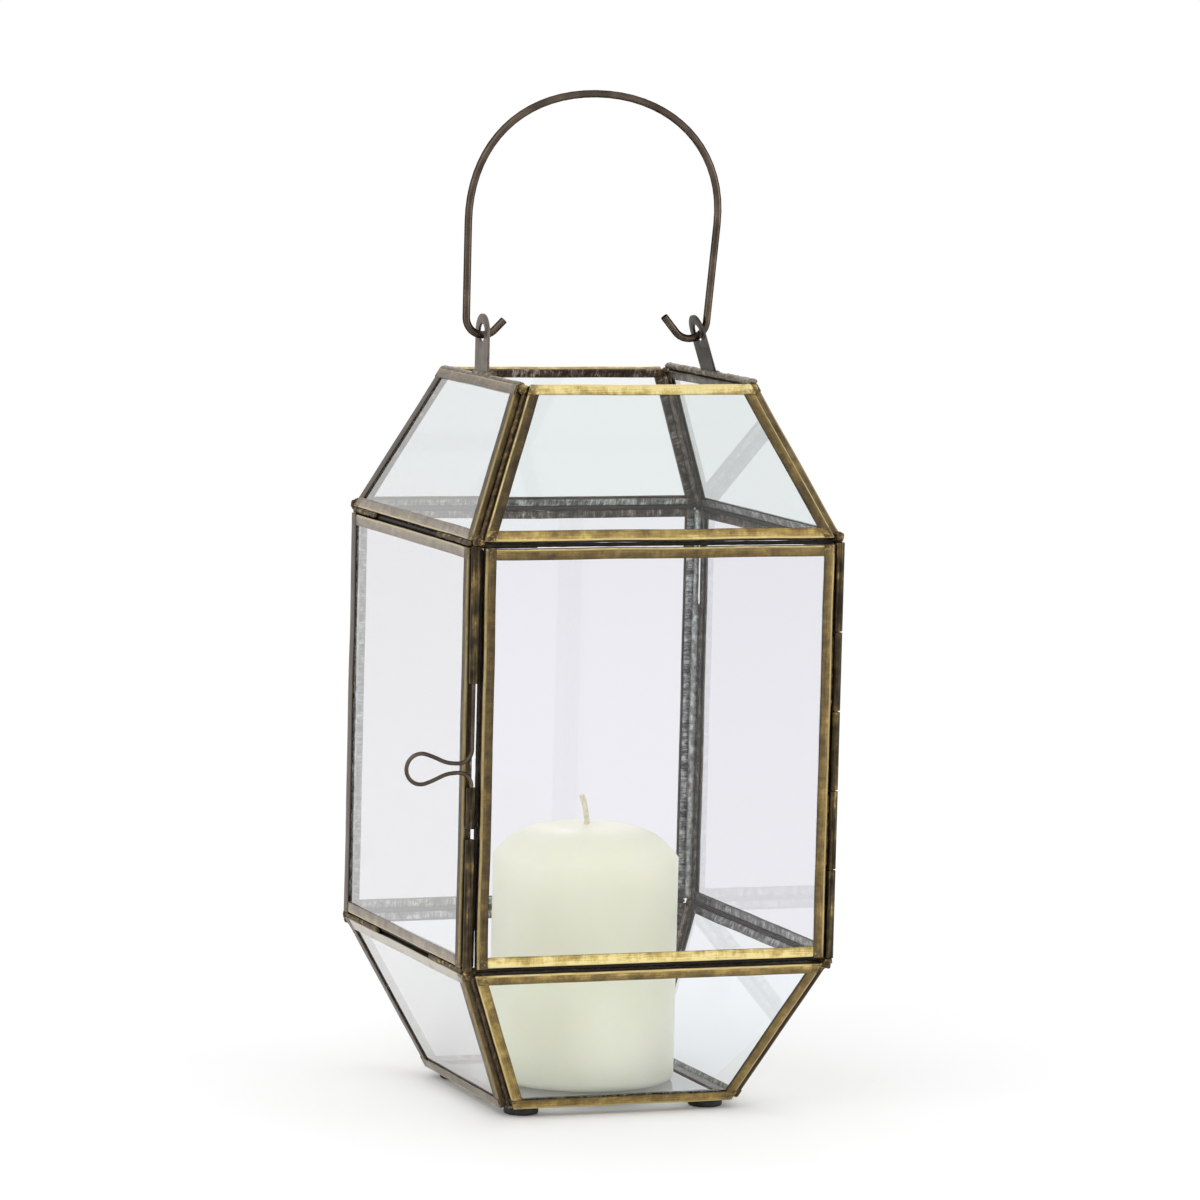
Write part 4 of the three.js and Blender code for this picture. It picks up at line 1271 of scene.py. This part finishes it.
for node, body in TUBES.items():
    low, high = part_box(node)
    if low.z - LOWER_WAIST < NEAR_WAIST:
        low.z = LOWER_WAIST + INTO_WAIST
    if UPPER_WAIST - high.z < NEAR_WAIST:
        high.z = UPPER_WAIST - INTO_WAIST
    side = -1 if node.startswith("latch") else 1
    centre = Vector((AXIS + side * TUBE_AXIS, -TUBE_AXIS, 0))
    tube = open_tube(centre, low.z, high.z)
    tube.data.materials.append(tube_metal)
    toward = Vector((-1, 0, 0)) if body == "door" else Vector((0, 1, 0))
    seam = centre + toward * (TUBE_RADIUS + HELD_OUT)
    low_end = Vector((seam.x, seam.y, low.z + HELD_SHORT))
    high_end = Vector((seam.x, seam.y, high.z - HELD_SHORT))
    held = solder_run(low_end, high_end, HELD_RUN, lumps=HELD_LUMPINESS)
    held.data.materials.append(solder)
    piece = join([tube, held], f"{node}_with_solder")
    finish_piece(piece, body, None, "dark_brass", node)
print("tubes:", len(TUBES))

# %% [markdown]
# The inner edges of the door's two stiles get a bead of near-black solder, a dark piece that paints the shade in the
# corners of the lantern.
# It lies behind the strips and clear of the tubes. On the latch side it thins out near the foot, and light shows.
# %% Beads behind the stiles
BEAD = 0.7 * MM
BEAD_DEPTH = 3.75 * MM
BEAD_OUT = 0.4 * MM
BEAD_SHORT = 0.2 * MM
THIN_BEAD = 0.3 * MM
THIN_LENGTH = 14 * MM
BEAD_LUMPINESS = 0.25
for hand, name in ((-1, "latch_side"), (1, "hinge_side")):
    beside = AXIS + hand * (door_half + BEAD_OUT)
    foot, head = LOWER_WAIST + WAIST_INSET + BEAD_SHORT, UPPER_WAIST - WAIST_INSET - BEAD_SHORT
    stretches = [(foot, head, BEAD)]
    if name == "latch_side":
        stretches = [(foot, foot + THIN_LENGTH, THIN_BEAD), (foot + THIN_LENGTH - BEAD, head, BEAD)]
    parts = []
    for low_end, high_end, radius in stretches:
        place = (beside, -WAIST_HALF + BEAD_DEPTH)
        parts.append(solder_run(Vector((*place, low_end)), Vector((*place, high_end)), radius, lumps=BEAD_LUMPINESS))
    bead = join(parts, f"door_bead_{name}")
    # The near-black bead is a dark piece that paints the shade in the corners.
    finish_piece(bead, "door", deep_solder_and_shade, "solder")
print("beads run", round((door_high.z - door_low.z) / MM, 1), "mm up the door")

# %% [markdown]
# The latch and the handle are drawn wire, bent round pegs and blackened.
# Each is a Bezier curve with a round section, turned into a mesh. A knot is a point of the curve with the handle
# before it and the handle after it. An arc needs handles of 4/3 tan(angle / 4) radii, a line a third of its length.
# %% Bending wire
CURVE_STEPS = 18
ROUND_STEPS = 5


def arc_knots(centre, radius, first, last):
    """The knots of an arc in the XZ plane, in pieces of a quarter turn at most."""
    pieces = max(1, math.ceil(abs(last - first) / (math.pi / 2) - TOUCH))
    step = (last - first) / pieces
    pull = 4 / 3 * math.tan(step / 4) * radius
    knots = []
    for k in range(pieces + 1):
        angle = first + k * step
        point = centre + radius * Vector((math.cos(angle), 0, math.sin(angle)))
        heading = Vector((-math.sin(angle), 0, math.cos(angle))) * pull
        knots.append((point, point - heading, point + heading))
    return knots


def bend_wire(knots, radius):
    """A round wire through the knots, as a closed mesh."""
    clear_selection()
    bpy.ops.curve.primitive_bezier_curve_add()
    wire = bpy.context.object
    curve = wire.data
    curve.dimensions = "3D"
    curve.resolution_u = CURVE_STEPS
    curve.bevel_depth = radius
    curve.bevel_resolution = ROUND_STEPS
    curve.use_fill_caps = True
    spline = curve.splines[0]
    spline.bezier_points.add(len(knots) - 2)
    for knot, (point, before, after) in zip(spline.bezier_points, knots):
        knot.handle_left_type = knot.handle_right_type = "FREE"
        knot.co, knot.handle_left, knot.handle_right = point, before, after
    bpy.ops.object.convert(target="MESH")
    wire = bpy.context.object
    bpy.ops.object.mode_set(mode="EDIT")
    bpy.ops.mesh.select_all(action="SELECT")
    bpy.ops.mesh.remove_doubles(threshold=TOUCH)
    bpy.ops.mesh.normals_make_consistent(inside=False)
    bpy.ops.object.mode_set(mode="OBJECT")
    return wire


def join_knots(*groups):
    """Chains groups of knots. Where two meet, the first gives the handle before and the second the one after."""
    chain = []
    for group in groups:
        for knot in group:
            if chain and (chain[-1][0] - knot[0]).length < TOUCH:
                chain[-1] = (chain[-1][0], chain[-1][1], knot[2])
            else:
                chain.append(knot)
    return chain


def line_knots(first, last):
    """The two knots of a straight line."""
    third = (last - first) / 3
    return [(first, first - third, first + third), (last, last - third, last + third)]


print("quarter turn handle, in radii:", round(4 / 3 * math.tan(math.pi / 8), 4))

# %% [markdown]
# Blackened wire keeps a satin skin: dark brown, in cloudy patches of about a centimetre that are lighter where it was
# handled.
# %% Blackened wire
def blackened_wire():
    material = new_material("blackened_brass_wire")
    where = add_node(material, "TexCoord").outputs["Object"]
    skin = add_node(material, "TexNoise", {"Vector": where, "Scale": 110.0, "Detail": 6.0, "Roughness": 0.55})
    shade = add_node(
        material,
        "ValToRGB",
        {"Fac": skin.outputs["Fac"]},
        stops=[(0.3, "453d36"), (0.5, "554b42"), (0.64, "65594c"), (0.78, "86765e")],
    )
    roughness = add_node(
        material,
        "MapRange",
        {"Value": skin.outputs["Fac"], **NOISE_SPAN, "To Min": 0.2, "To Max": 0.32},
    )
    fine = add_node(material, "TexNoise", {"Vector": where, "Scale": 1400.0, "Detail": 2.0})
    bump = add_node(material, "Bump", {"Height": fine.outputs["Fac"], "Strength": 0.08, "Distance": 0.05 * MM})
    metal = add_node(
        material,
        "BsdfPrincipled",
        {
            "Base Color": shade.outputs[0],
            "Metallic": 1.0,
            "Roughness": roughness.outputs[0],
            "Specular Tint": colour("4a4038"),
            "Normal": bump.outputs[0],
        },
    )
    add_node(material, "OutputMaterial", {"Surface": metal.outputs[0]})
    return material


dark_wire = blackened_wire()
print(dark_wire.name, "has", len(dark_wire.node_tree.nodes), "nodes")

# %% [markdown]
# The latch is one wire: a long leg down out of the upper tube, a bend outwards, a pear-shaped loop for the finger,
# a bend back, and a short leg into the sleeve.
# %% Latch wire
LATCH_WIRE = 0.74 * MM
LOOP_RADIUS = 5.6 * MM
LOOP_REACH = 19.3 * MM
NECK = 1.7 * MM
LATCH_BEND = 5 * MM
UPPER_LEG = 39 * MM
LOWER_LEG = 15.5 * MM
LOOP_MEET = math.radians(107)
LOOP_HEIGHT = 75 * MM

loop_middle = LOWER_WAIST + LOOP_HEIGHT
bend_height = NECK + LATCH_BEND
round_end = Vector((LOOP_REACH, 0, 0))
on_round = round_end + LOOP_RADIUS * Vector((math.cos(LOOP_MEET), 0, math.sin(LOOP_MEET)))
heading = Vector((math.sin(LOOP_MEET), 0, -math.cos(LOOP_MEET)))
pull = (on_round.x - LATCH_BEND) / 2
neck_top = Vector((LATCH_BEND, 0, NECK))
neck_foot = Vector((LATCH_BEND, 0, -NECK))
reach = Vector((pull, 0, 0))
foot_round = Vector((on_round.x, 0, -on_round.z))
foot_heading = Vector((-heading.x, 0, heading.z))
latch_knots = join_knots(
    line_knots(Vector((0, 0, bend_height + UPPER_LEG)), Vector((0, 0, bend_height))),
    arc_knots(Vector((LATCH_BEND, 0, bend_height)), LATCH_BEND, math.pi, 1.5 * math.pi),
    [(neck_top, neck_top, neck_top + reach), (on_round, on_round - heading * pull, on_round)],
    arc_knots(round_end, LOOP_RADIUS, LOOP_MEET, -LOOP_MEET),
    [(foot_round, foot_round, foot_round + foot_heading * pull), (neck_foot, neck_foot + reach, neck_foot)],
    arc_knots(Vector((LATCH_BEND, 0, -bend_height)), LATCH_BEND, math.pi / 2, math.pi),
    line_knots(Vector((0, 0, -bend_height)), Vector((0, 0, -bend_height - LOWER_LEG))),
)
latch = bend_wire(latch_knots, LATCH_WIRE)
latch.name = "latch_bent_wire"
latch_turn = Matrix.Rotation(math.pi, 4, "Z")
latch.data.transform(Matrix.Translation((AXIS - TUBE_AXIS, -TUBE_AXIS, loop_middle)) @ latch_turn)
bpy.ops.object.shade_smooth_by_angle(angle=SMOOTH_ANGLE)
finish_piece(latch, "latch", dark_wire, "bronze_wire", "latch_wire")
print("latch reaches to x in mm:", round(min(v.co.x for v in latch.data.vertices) / MM, 2))

# %% [markdown]
# The handle is a thicker wire. Its left leg is upright, its right leg leans in by five degrees,
# and both end in a hook that was pushed through the hole of an ear and left open.
# %% Handle
HANDLE_WIRE = 1.42 * MM
EAR_LEAN = math.radians(18)
EAR_HOLE_HEIGHT = 16 * MM
HANDLE_DROP = 0.9 * MM
HANDLE_HEIGHT = 89.84 * MM
HANDLE_CROWN = 48 * MM
FULLNESS = 0.6
RIGHT_ANGLE = math.radians(5)
LEFT_HOOK, LEFT_TIP, LEFT_TURN = 6.6 * MM, 5 * MM, math.radians(45)
RIGHT_HOOK, RIGHT_TIP, RIGHT_TURN = 7 * MM, 7.5 * MM, math.radians(50)
RIGHT_ENTRY = math.radians(35)

EAR_SEAT = RIM_HALF - CHANNEL_DEPTH / 2 * math.cos(SLANT)
EAR_FOOT = RIM - CHANNEL_DEPTH / 2 * math.sin(SLANT) + FIT_GAP
PIVOT = RIM + EAR_HOLE_HEIGHT - HANDLE_DROP
RIGHT_CROSSING = EAR_SEAT - (PIVOT - EAR_FOOT) * math.tan(EAR_LEAN)

left_middle = Vector((-EAR_SEAT, 0, PIVOT + LEFT_HOOK))
left_hook = arc_knots(left_middle, LEFT_HOOK, LEFT_TURN - math.pi / 2, -math.pi)
left_start, left_leg = left_hook[0][0], left_hook[-1][0]
left_tip = left_start + LEFT_TIP * Vector((math.cos(LEFT_TURN), 0, math.sin(LEFT_TURN)))
right_middle = Vector(
    (
        RIGHT_CROSSING - RIGHT_HOOK * math.sin(RIGHT_ENTRY),
        0,
        PIVOT + RIGHT_HOOK * math.cos(RIGHT_ENTRY),
    )
)
right_hook = arc_knots(right_middle, RIGHT_HOOK, -RIGHT_ANGLE, -math.pi / 2 - RIGHT_TURN)
right_leg, right_stop = right_hook[0][0], right_hook[-1][0]
right_tip = right_stop + RIGHT_TIP * Vector((-math.cos(RIGHT_TURN), 0, math.sin(RIGHT_TURN)))
top = PIVOT + HANDLE_HEIGHT
spring = top - HANDLE_CROWN
lean = Vector((math.sin(RIGHT_ANGLE), 0, math.cos(RIGHT_ANGLE)))
left_spring = Vector((left_leg.x, 0, spring))
right_spring = right_leg + lean * ((spring - right_leg.z) / lean.z)
crown = Vector(((left_spring.x + right_spring.x) / 2, 0, top))
rise = FULLNESS * HANDLE_CROWN
spread = Vector((FULLNESS * (crown.x - left_spring.x), 0, 0))
handle_knots = join_knots(
    line_knots(left_tip, left_start),
    left_hook,
    line_knots(left_leg, left_spring),
    [(left_spring, left_spring, left_spring + Vector((0, 0, rise)))],
    [(crown, crown - spread, crown + spread)],
    [(right_spring, right_spring + lean * rise, right_spring)],
    line_knots(right_spring, right_leg),
    right_hook,
    line_knots(right_stop, right_tip),
)
handle = bend_wire(handle_knots, HANDLE_WIRE)
handle.name = "handle_bent_wire"
handle.data.transform(Matrix.Translation((AXIS, 0, 0)))
bpy.ops.object.shade_smooth_by_angle(angle=SMOOTH_ANGLE)
finish_piece(handle, "handle", dark_wire, "bronze_wire", "handle")
print("handle top in mm:", round(max(v.co.z for v in handle.data.vertices) / MM, 2))

# %% [markdown]
# The ears are cut from brass sheet that the bath left dull and cloudy. The right one gets a copy painted darker, as
# the shade and darker reflection that it catches where it leans.
# %% Dull brass sheet
def dull_sheet(name, stops):
    material = new_material(name)
    where = add_node(material, "TexCoord").outputs["Object"]
    cloud = add_node(material, "TexNoise", {"Vector": where, "Scale": 170.0, "Detail": 6.0, "Roughness": 0.6})
    shade = add_node(material, "ValToRGB", {"Fac": cloud.outputs["Fac"]}, stops=stops)
    fine = add_node(material, "TexNoise", {"Vector": where, "Scale": 1100.0, "Detail": 3.0})
    roughness = add_node(
        material,
        "MapRange",
        {"Value": cloud.outputs["Fac"], **NOISE_SPAN, "To Min": 0.4, "To Max": 0.56},
    )
    bump = add_node(material, "Bump", {"Height": fine.outputs["Fac"], "Strength": 0.3, "Distance": 0.06 * MM})
    metal = add_node(
        material,
        "BsdfPrincipled",
        {
            "Base Color": shade.outputs[0],
            "Metallic": 1.0,
            "Roughness": roughness.outputs[0],
            "Normal": bump.outputs[0],
        },
    )
    add_node(material, "OutputMaterial", {"Surface": metal.outputs[0]})
    return material


sheet_brass = dull_sheet("dull_brass_sheet", [(0.3, "5a524d"), (0.48, "6f6660"), (0.62, "80766f"), (0.75, "938876")])
# A copy painted darker, as the shade and darker reflection on the leaning right ear.
sheet_with_painted_shade = dull_sheet("brass_sheet_painted_darker", [(0.3, "3a3532"), (0.48, "4c4641"), (0.62, "5c554e"), (0.75, "74695a")])
print(sheet_brass.name, "and", sheet_with_painted_shade.name)

# %% [markdown]
# The ears are flat tabs with a punched hole, soldered to the middle of the left and right rims.
# A circle the size of the hole is widened into a ring, the lower half of its outer edge is pulled down to the foot
# and flattened there, and the sheet gets its thickness last. The right ear was bent inwards when the handle went in.
# %% Ears
EAR_WIDTH = 14 * MM
EAR_SHEET = 0.9 * MM
EAR_HOLE = 3.45 * MM
EAR_BURR = 0.12 * MM


def ear(name, height):
    """A tab that stands in the YZ plane, with its hole at the origin and its foot at a height below it."""
    clear_selection()
    bpy.ops.mesh.primitive_circle_add(vertices=64, radius=EAR_HOLE, rotation=(0, math.pi / 2, 0))
    tab = bpy.context.object
    bpy.ops.object.transform_apply(rotation=True)
    bpy.ops.object.mode_set(mode="EDIT")
    bpy.ops.mesh.select_all(action="SELECT")
    bpy.ops.mesh.extrude_edges_move()
    rim = EAR_WIDTH / 2
    grow = rim / EAR_HOLE
    bpy.ops.transform.resize(value=(1, grow, grow))
    choose("EDGE", lambda e: all(v.co.length > 0.9 * rim and v.co.z < TOUCH for v in e.verts))
    bpy.ops.mesh.extrude_edges_move(TRANSFORM_OT_translate={"value": (0, 0, -height)})
    choose("VERT", lambda v: v.co.length > 1.01 * rim or (abs(v.co.z + height) < TOUCH))
    bpy.ops.transform.resize(value=(1, 1, 0), center_override=(0, 0, -height))
    bpy.ops.mesh.select_all(action="SELECT")
    bpy.ops.mesh.normals_make_consistent(inside=False)
    bpy.ops.object.mode_set(mode="OBJECT")
    add_modifier(tab, "SOLIDIFY", thickness=EAR_SHEET, offset=0)
    add_modifier(tab, "BEVEL", width=EAR_BURR, segments=2, limit_method="ANGLE", angle_limit=BEVEL_ANGLE)
    bpy.ops.object.shade_smooth_by_angle(angle=SMOOTH_ANGLE)
    tab.name = name
    return tab


hole_height = PIVOT + HANDLE_DROP - EAR_FOOT
left_ear = ear("ear_left_tab", hole_height)
left_ear.data.transform(Matrix.Translation((AXIS - EAR_SEAT, 0, EAR_FOOT + hole_height)))
finish_piece(left_ear, "lantern", sheet_brass, "ear_sheet", "ear_left")
right_height = hole_height / math.cos(EAR_LEAN)
right_ear = ear("ear_right_tab", right_height)
leaning = Matrix.Translation((AXIS + EAR_SEAT, 0, EAR_FOOT)) @ Matrix.Rotation(-EAR_LEAN, 4, "Y")
right_ear.data.transform(leaning @ Matrix.Translation((0, 0, right_height)))
# The right ear gets the copy that is painted darker.
finish_piece(right_ear, "lantern", sheet_with_painted_shade, "ear_sheet", "ear_right")
print("ear hole height in mm:", round((EAR_FOOT + hole_height) / MM, 2))

# %% [markdown]
# The ears stand in a ridge of solder that was run along the whole top of both side rims.
# It was left rough and dull, and it stands higher on the right.
# %% Solder ridges at the ears
RIDGE = 1.9 * MM
RIDGE_SHORT = 3.5 * MM
FOOT_RUN = 1.3 * MM
FOOT_RUN_PAST = 1.5 * MM
FOOT_RUN_UP = 0.4 * MM
FOOT_RUN_LUMPINESS = 0.6
# The side, the height over the rim, how flat it was pressed, and how lumpy it is.
RIDGES = {"left": (-1, -0.1 * MM, 0.4, 0.3), "right": (1, 0.6 * MM, 0.65, 0.45)}
for name, (hand, rise, flat, lumps) in RIDGES.items():
    seat = AXIS + hand * EAR_SEAT
    start = Vector((seat, -RIM_HALF + RIDGE_SHORT, RIM + rise))
    end = Vector((seat, RIM_HALF - RIDGE_SHORT, RIM + rise))
    run = solder_run(start, end, RIDGE, flat=flat, lumps=lumps)
    foot_half = EAR_WIDTH / 2 + FOOT_RUN_PAST
    foot_height = RIM + rise + FOOT_RUN_UP
    foot_run = solder_run(
        Vector((seat, -foot_half, foot_height)),
        Vector((seat, foot_half, foot_height)),
        FOOT_RUN,
        lumps=FOOT_RUN_LUMPINESS,
    )
    ridge = join([run, foot_run], f"ear_solder_{name}")
    finish_piece(ridge, "lantern", rim_solder, "solder")
print("ridge length in mm:", round((end - start).length / MM, 1))

# %% [markdown]
# The candle is a cast pillar of off-white paraffin wax.
# Light goes several millimetres deep into wax before it comes out again, which softens its shading. Its colour is
# faintly cloudy, and its skin has shallow dimples about 8 mm across.
# %% Candle wax
def pillar_wax():
    material = new_material("paraffin_wax")
    where = add_node(material, "TexCoord").outputs["Object"]
    cloud = add_node(material, "TexNoise", {"Vector": where, "Scale": 22.0, "Detail": 3.0, "Roughness": 0.5})
    shade = add_node(
        material,
        "ValToRGB",
        {"Fac": cloud.outputs["Fac"]},
        stops=[(0.35, "eff1d8"), (0.5, "f3f5de"), (0.65, "f6f9e4")],
    )
    skin = add_node(material, "TexNoise", {"Vector": where, "Scale": 120.0, "Detail": 4.0, "Roughness": 0.5})
    roughness = add_node(
        material,
        "MapRange",
        {"Value": skin.outputs["Fac"], **NOISE_SPAN, "To Min": 0.38, "To Max": 0.52},
    )
    bump = add_node(material, "Bump", {"Height": skin.outputs["Fac"], "Strength": 0.12, "Distance": 0.4 * MM})
    wax = add_node(
        material,
        "BsdfPrincipled",
        {
            "Base Color": shade.outputs[0],
            "Roughness": roughness.outputs[0],
            "IOR": 1.43,
            "Subsurface Weight": 0.6,
            "Subsurface Radius": (1.0, 0.85, 0.55),
            "Subsurface Scale": 9 * MM,
            "Normal": bump.outputs[0],
        },
    )
    add_node(material, "OutputMaterial", {"Surface": wax.outputs[0]})
    return material


wax = pillar_wax()
print(wax.name, "has", len(wax.node_tree.nodes), "nodes")

# %% [markdown]
# The pillar is rounded at the foot, straight up its wall, and domed towards the wick.
# Its profile is a list of radii and heights, and a disc is extruded and resized ring by ring up this profile.
# The rings stand closest at the shoulder, where the profile bends most. The last one closes in a small flat top.
# %% Pillar candle
CANDLE_RADIUS = 35 * MM
candle_low, candle_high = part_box("candle")
CANDLE_HEIGHT = candle_high.z - candle_low.z
DOME = 12 * MM
FOOT_ROUND = 3 * MM
WICK_BORE = 1.4 * MM
FOOT_RINGS = 4
WALL_RINGS = 8
DOME_RINGS = 26

clear_selection()
bpy.ops.mesh.primitive_circle_add(
    vertices=96, radius=CANDLE_RADIUS - FOOT_ROUND, fill_type="NGON", location=(AXIS, 0, candle_low.z)
)
candle = bpy.context.object
candle.name = "pillar_candle"
bpy.ops.object.transform_apply(location=True)
profile = []
for k in range(1, FOOT_RINGS + 1):
    angle = k * math.pi / (2 * FOOT_RINGS)
    profile.append((CANDLE_RADIUS - FOOT_ROUND * (1 - math.sin(angle)), FOOT_ROUND * (1 - math.cos(angle))))
for k in range(1, WALL_RINGS):
    profile.append((CANDLE_RADIUS, FOOT_ROUND + (CANDLE_HEIGHT - DOME - FOOT_ROUND) * k / WALL_RINGS))
for k in range(DOME_RINGS):
    radius = WICK_BORE + (CANDLE_RADIUS - WICK_BORE) * math.sqrt(1 - k / DOME_RINGS)
    profile.append((radius, CANDLE_HEIGHT - DOME * (radius / CANDLE_RADIUS) ** 4))
bpy.ops.object.mode_set(mode="EDIT")
bpy.ops.mesh.select_all(action="SELECT")
last_radius, last_height = CANDLE_RADIUS - FOOT_ROUND, 0
for radius, height in profile:
    bpy.ops.mesh.extrude_region_move(TRANSFORM_OT_translate={"value": (0, 0, height - last_height)})
    scale = radius / last_radius
    bpy.ops.transform.resize(value=(scale, scale, 1), center_override=(AXIS, 0, candle_low.z + height))
    last_radius, last_height = radius, height
bpy.ops.mesh.select_all(action="SELECT")
bpy.ops.mesh.normals_make_consistent(inside=False)
bpy.ops.object.mode_set(mode="OBJECT")
bpy.ops.object.shade_smooth_by_angle(angle=math.radians(60))
finish_piece(candle, "candle", wax, "wax", "candle")
print("candle height in mm:", round(CANDLE_HEIGHT / MM, 1))

# %% [markdown]
# The wick is a braided cotton cord dipped in wax, which makes it pale and a little waxy.
# Its fibres are too fine to show here, so the noise draws them coarser, about a millimetre across.
# %% Waxed cotton
def waxed_cotton():
    material = new_material("waxed_cotton_wick")
    where = add_node(material, "TexCoord").outputs["Object"]
    fibres = add_node(material, "TexNoise", {"Vector": where, "Scale": 900.0, "Detail": 4.0})
    shade = add_node(material, "ValToRGB", {"Fac": fibres.outputs["Fac"]}, stops=[(0.3, "cfc9ae"), (0.6, "e6e2cc")])
    bump = add_node(material, "Bump", {"Height": fibres.outputs["Fac"], "Strength": 0.5, "Distance": 0.2 * MM})
    cotton = add_node(
        material,
        "BsdfPrincipled",
        {
            "Base Color": shade.outputs[0],
            "Roughness": 0.7,
            "Subsurface Weight": 0.3,
            "Subsurface Scale": 1 * MM,
            "Normal": bump.outputs[0],
        },
    )
    add_node(material, "OutputMaterial", {"Surface": cotton.outputs[0]})
    return material


cotton = waxed_cotton()
print(cotton.name, "has", len(cotton.node_tree.nodes), "nodes")

# %% [markdown]
# The wick stands upright in the wax and leans over a little above it. It is made as the wires are,
# from a straight line of knots whose last handle points on upwards, and a tip that leans.
# %% Wick
WICK_RADIUS = 1.05 * MM
WICK_OUT = 11 * MM
WICK_LEAN = 2.2 * MM
WICK_EASE = 0.66
wick_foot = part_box("wick")[0].z
mouth = candle_high.z
knots = line_knots(Vector((0, 0, wick_foot)), Vector((0, 0, mouth)))
knots[-1] = (knots[-1][0], knots[-1][1], Vector((0, 0, mouth + WICK_OUT / 3)))
tip = Vector((-WICK_LEAN, 0, mouth + WICK_OUT))
knots.append((tip, tip + Vector((WICK_LEAN * WICK_EASE, 0, -WICK_OUT / 3)), tip))
wick = bend_wire(knots, WICK_RADIUS)
wick.name = "wick_cord"
wick.data.transform(Matrix.Translation((AXIS, 0, 0)))
bpy.ops.object.shade_smooth_by_angle(angle=SMOOTH_ANGLE)
finish_piece(wick, "candle", cotton, "wick_cotton", "wick")
print("wick tip in mm:", round(max(v.co.z for v in wick.data.vertices) / MM, 2))

# %% [markdown]
# The panes are plain float glass, 2 mm thick.
# What is seen through a sheet is shifted by refraction, most of all at a slant. The light that falls inside goes
# straight on instead, so that the candle is lit through the glass.
# Both surfaces of a sheet reflect. Here the surface that a ray meets first carries the reflection and the tint
# for both, and the far one is quite clear. SURFACES says how many surfaces reflect, less what they hide of each
# other, and the left panes, which face a brighter side, mirror more of it.
# %% Float glass
GLASS_IOR = 1.5
GLASS_SHEEN = 0.02
SURFACES = 1.6
LEFT_SURFACES = 2.6


def float_glass(name, tint, surfaces):
    material = new_material(name)
    geometry = add_node(material, "NewGeometry")
    first = add_node(material, "Math", {0: 1.0, 1: geometry.outputs["Backfacing"]}, operation="SUBTRACT")
    mirror = add_node(material, "Fresnel", {"IOR": GLASS_IOR})
    both = add_node(material, "Math", {0: mirror.outputs[0], 1: surfaces}, operation="MULTIPLY", use_clamp=True)
    share = add_node(material, "Math", {0: both.outputs[0], 1: first.outputs[0]}, operation="MULTIPLY")
    ray = add_node(material, "LightPath")
    lights = add_node(
        material,
        "Math",
        {0: ray.outputs["Is Shadow Ray"], 1: ray.outputs["Is Diffuse Ray"]},
        operation="MAXIMUM",
    )
    looks = add_node(material, "Math", {0: 1.0, 1: lights.outputs[0]}, operation="SUBTRACT")
    tinted = add_node(material, "Math", {0: first.outputs[0], 1: looks.outputs[0]}, operation="MULTIPLY")
    shade = add_node(
        material,
        "Mix",
        {FACTOR: tinted.outputs[0], MIX_A: (1, 1, 1, 1), MIX_B: colour(tint)},
        data_type="RGBA",
    )
    straight = add_node(material, "BsdfTransparent")
    bent = add_node(material, "BsdfRefraction", {"Color": shade.outputs[MIX_OUT], "Roughness": 0.0, "IOR": GLASS_IOR})
    clear = add_node(material, "MixShader", {0: lights.outputs[0], 1: bent.outputs[0], 2: straight.outputs[0]})
    gloss = add_node(material, "BsdfGlossy", {"Roughness": GLASS_SHEEN})
    sheet = add_node(material, "MixShader", {0: share.outputs[0], 1: clear.outputs[0], 2: gloss.outputs[0]})
    add_node(material, "OutputMaterial", {"Surface": sheet.outputs[0]})
    return material


print("surfaces that reflect:", SURFACES, LEFT_SURFACES)

# %% [markdown]
# The solids of the panes have the right shape, so they stay and only get a finish.
# Clear glass is nearly colourless. The upper panes are a trace grey, the upright ones a trace cool, and the lower
# ones the clearest. The pane of the base is of the same glass as the upright ones.
# %% Glass in the panes
TINTS = {"upper": "f4f7f7", "middle": "f5f5f8", "lower": "fafcfe"}
glass = {}
for level, tint in TINTS.items():
    glass[level] = float_glass(f"float_glass_{level}", tint, SURFACES)
    glass[f"{level}_left"] = float_glass(f"float_glass_{level}_left", tint, LEFT_SURFACES)


def dress_node(name, material):
    """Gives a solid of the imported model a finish."""
    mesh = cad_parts[name].data
    mesh.materials.clear()
    mesh.materials.append(material)


panes = [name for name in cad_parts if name.endswith("_pane")]
for name in panes:
    stem = name.split("_")[0]
    level = stem if stem in LEVELS else "middle"
    dress_node(name, glass[f"{level}_left" if "_left_" in name else level])
print("panes:", len(panes))

# %% [markdown]
# The feet are bumpers of moulded black rubber, matt and grained. The grain is drawn a little over a millimetre wide,
# coarser than it is, so that it shows.
# Their solids stay as well, and so does the hinge pin, which is a piece of the same wire as the latch.
# %% Rubber feet and hinge pin
def black_rubber():
    material = new_material("moulded_rubber")
    where = add_node(material, "TexCoord").outputs["Object"]
    grain = add_node(material, "TexNoise", {"Vector": where, "Scale": 700.0, "Detail": 3.0})
    shade = add_node(material, "ValToRGB", {"Fac": grain.outputs["Fac"]}, stops=[(0.35, "151515"), (0.65, "232323")])
    bump = add_node(material, "Bump", {"Height": grain.outputs["Fac"], "Strength": 0.2, "Distance": 0.1 * MM})
    rubber = add_node(
        material,
        "BsdfPrincipled",
        {"Base Color": shade.outputs[0], "Roughness": 0.62, "Normal": bump.outputs[0]},
    )
    add_node(material, "OutputMaterial", {"Surface": rubber.outputs[0]})
    return material


rubber = black_rubber()
for corner in CORNERS:
    dress_node(f"foot_{corner}", rubber)
dress_node("hinge_pin", dark_wire)
print("feet:", len(CORNERS))
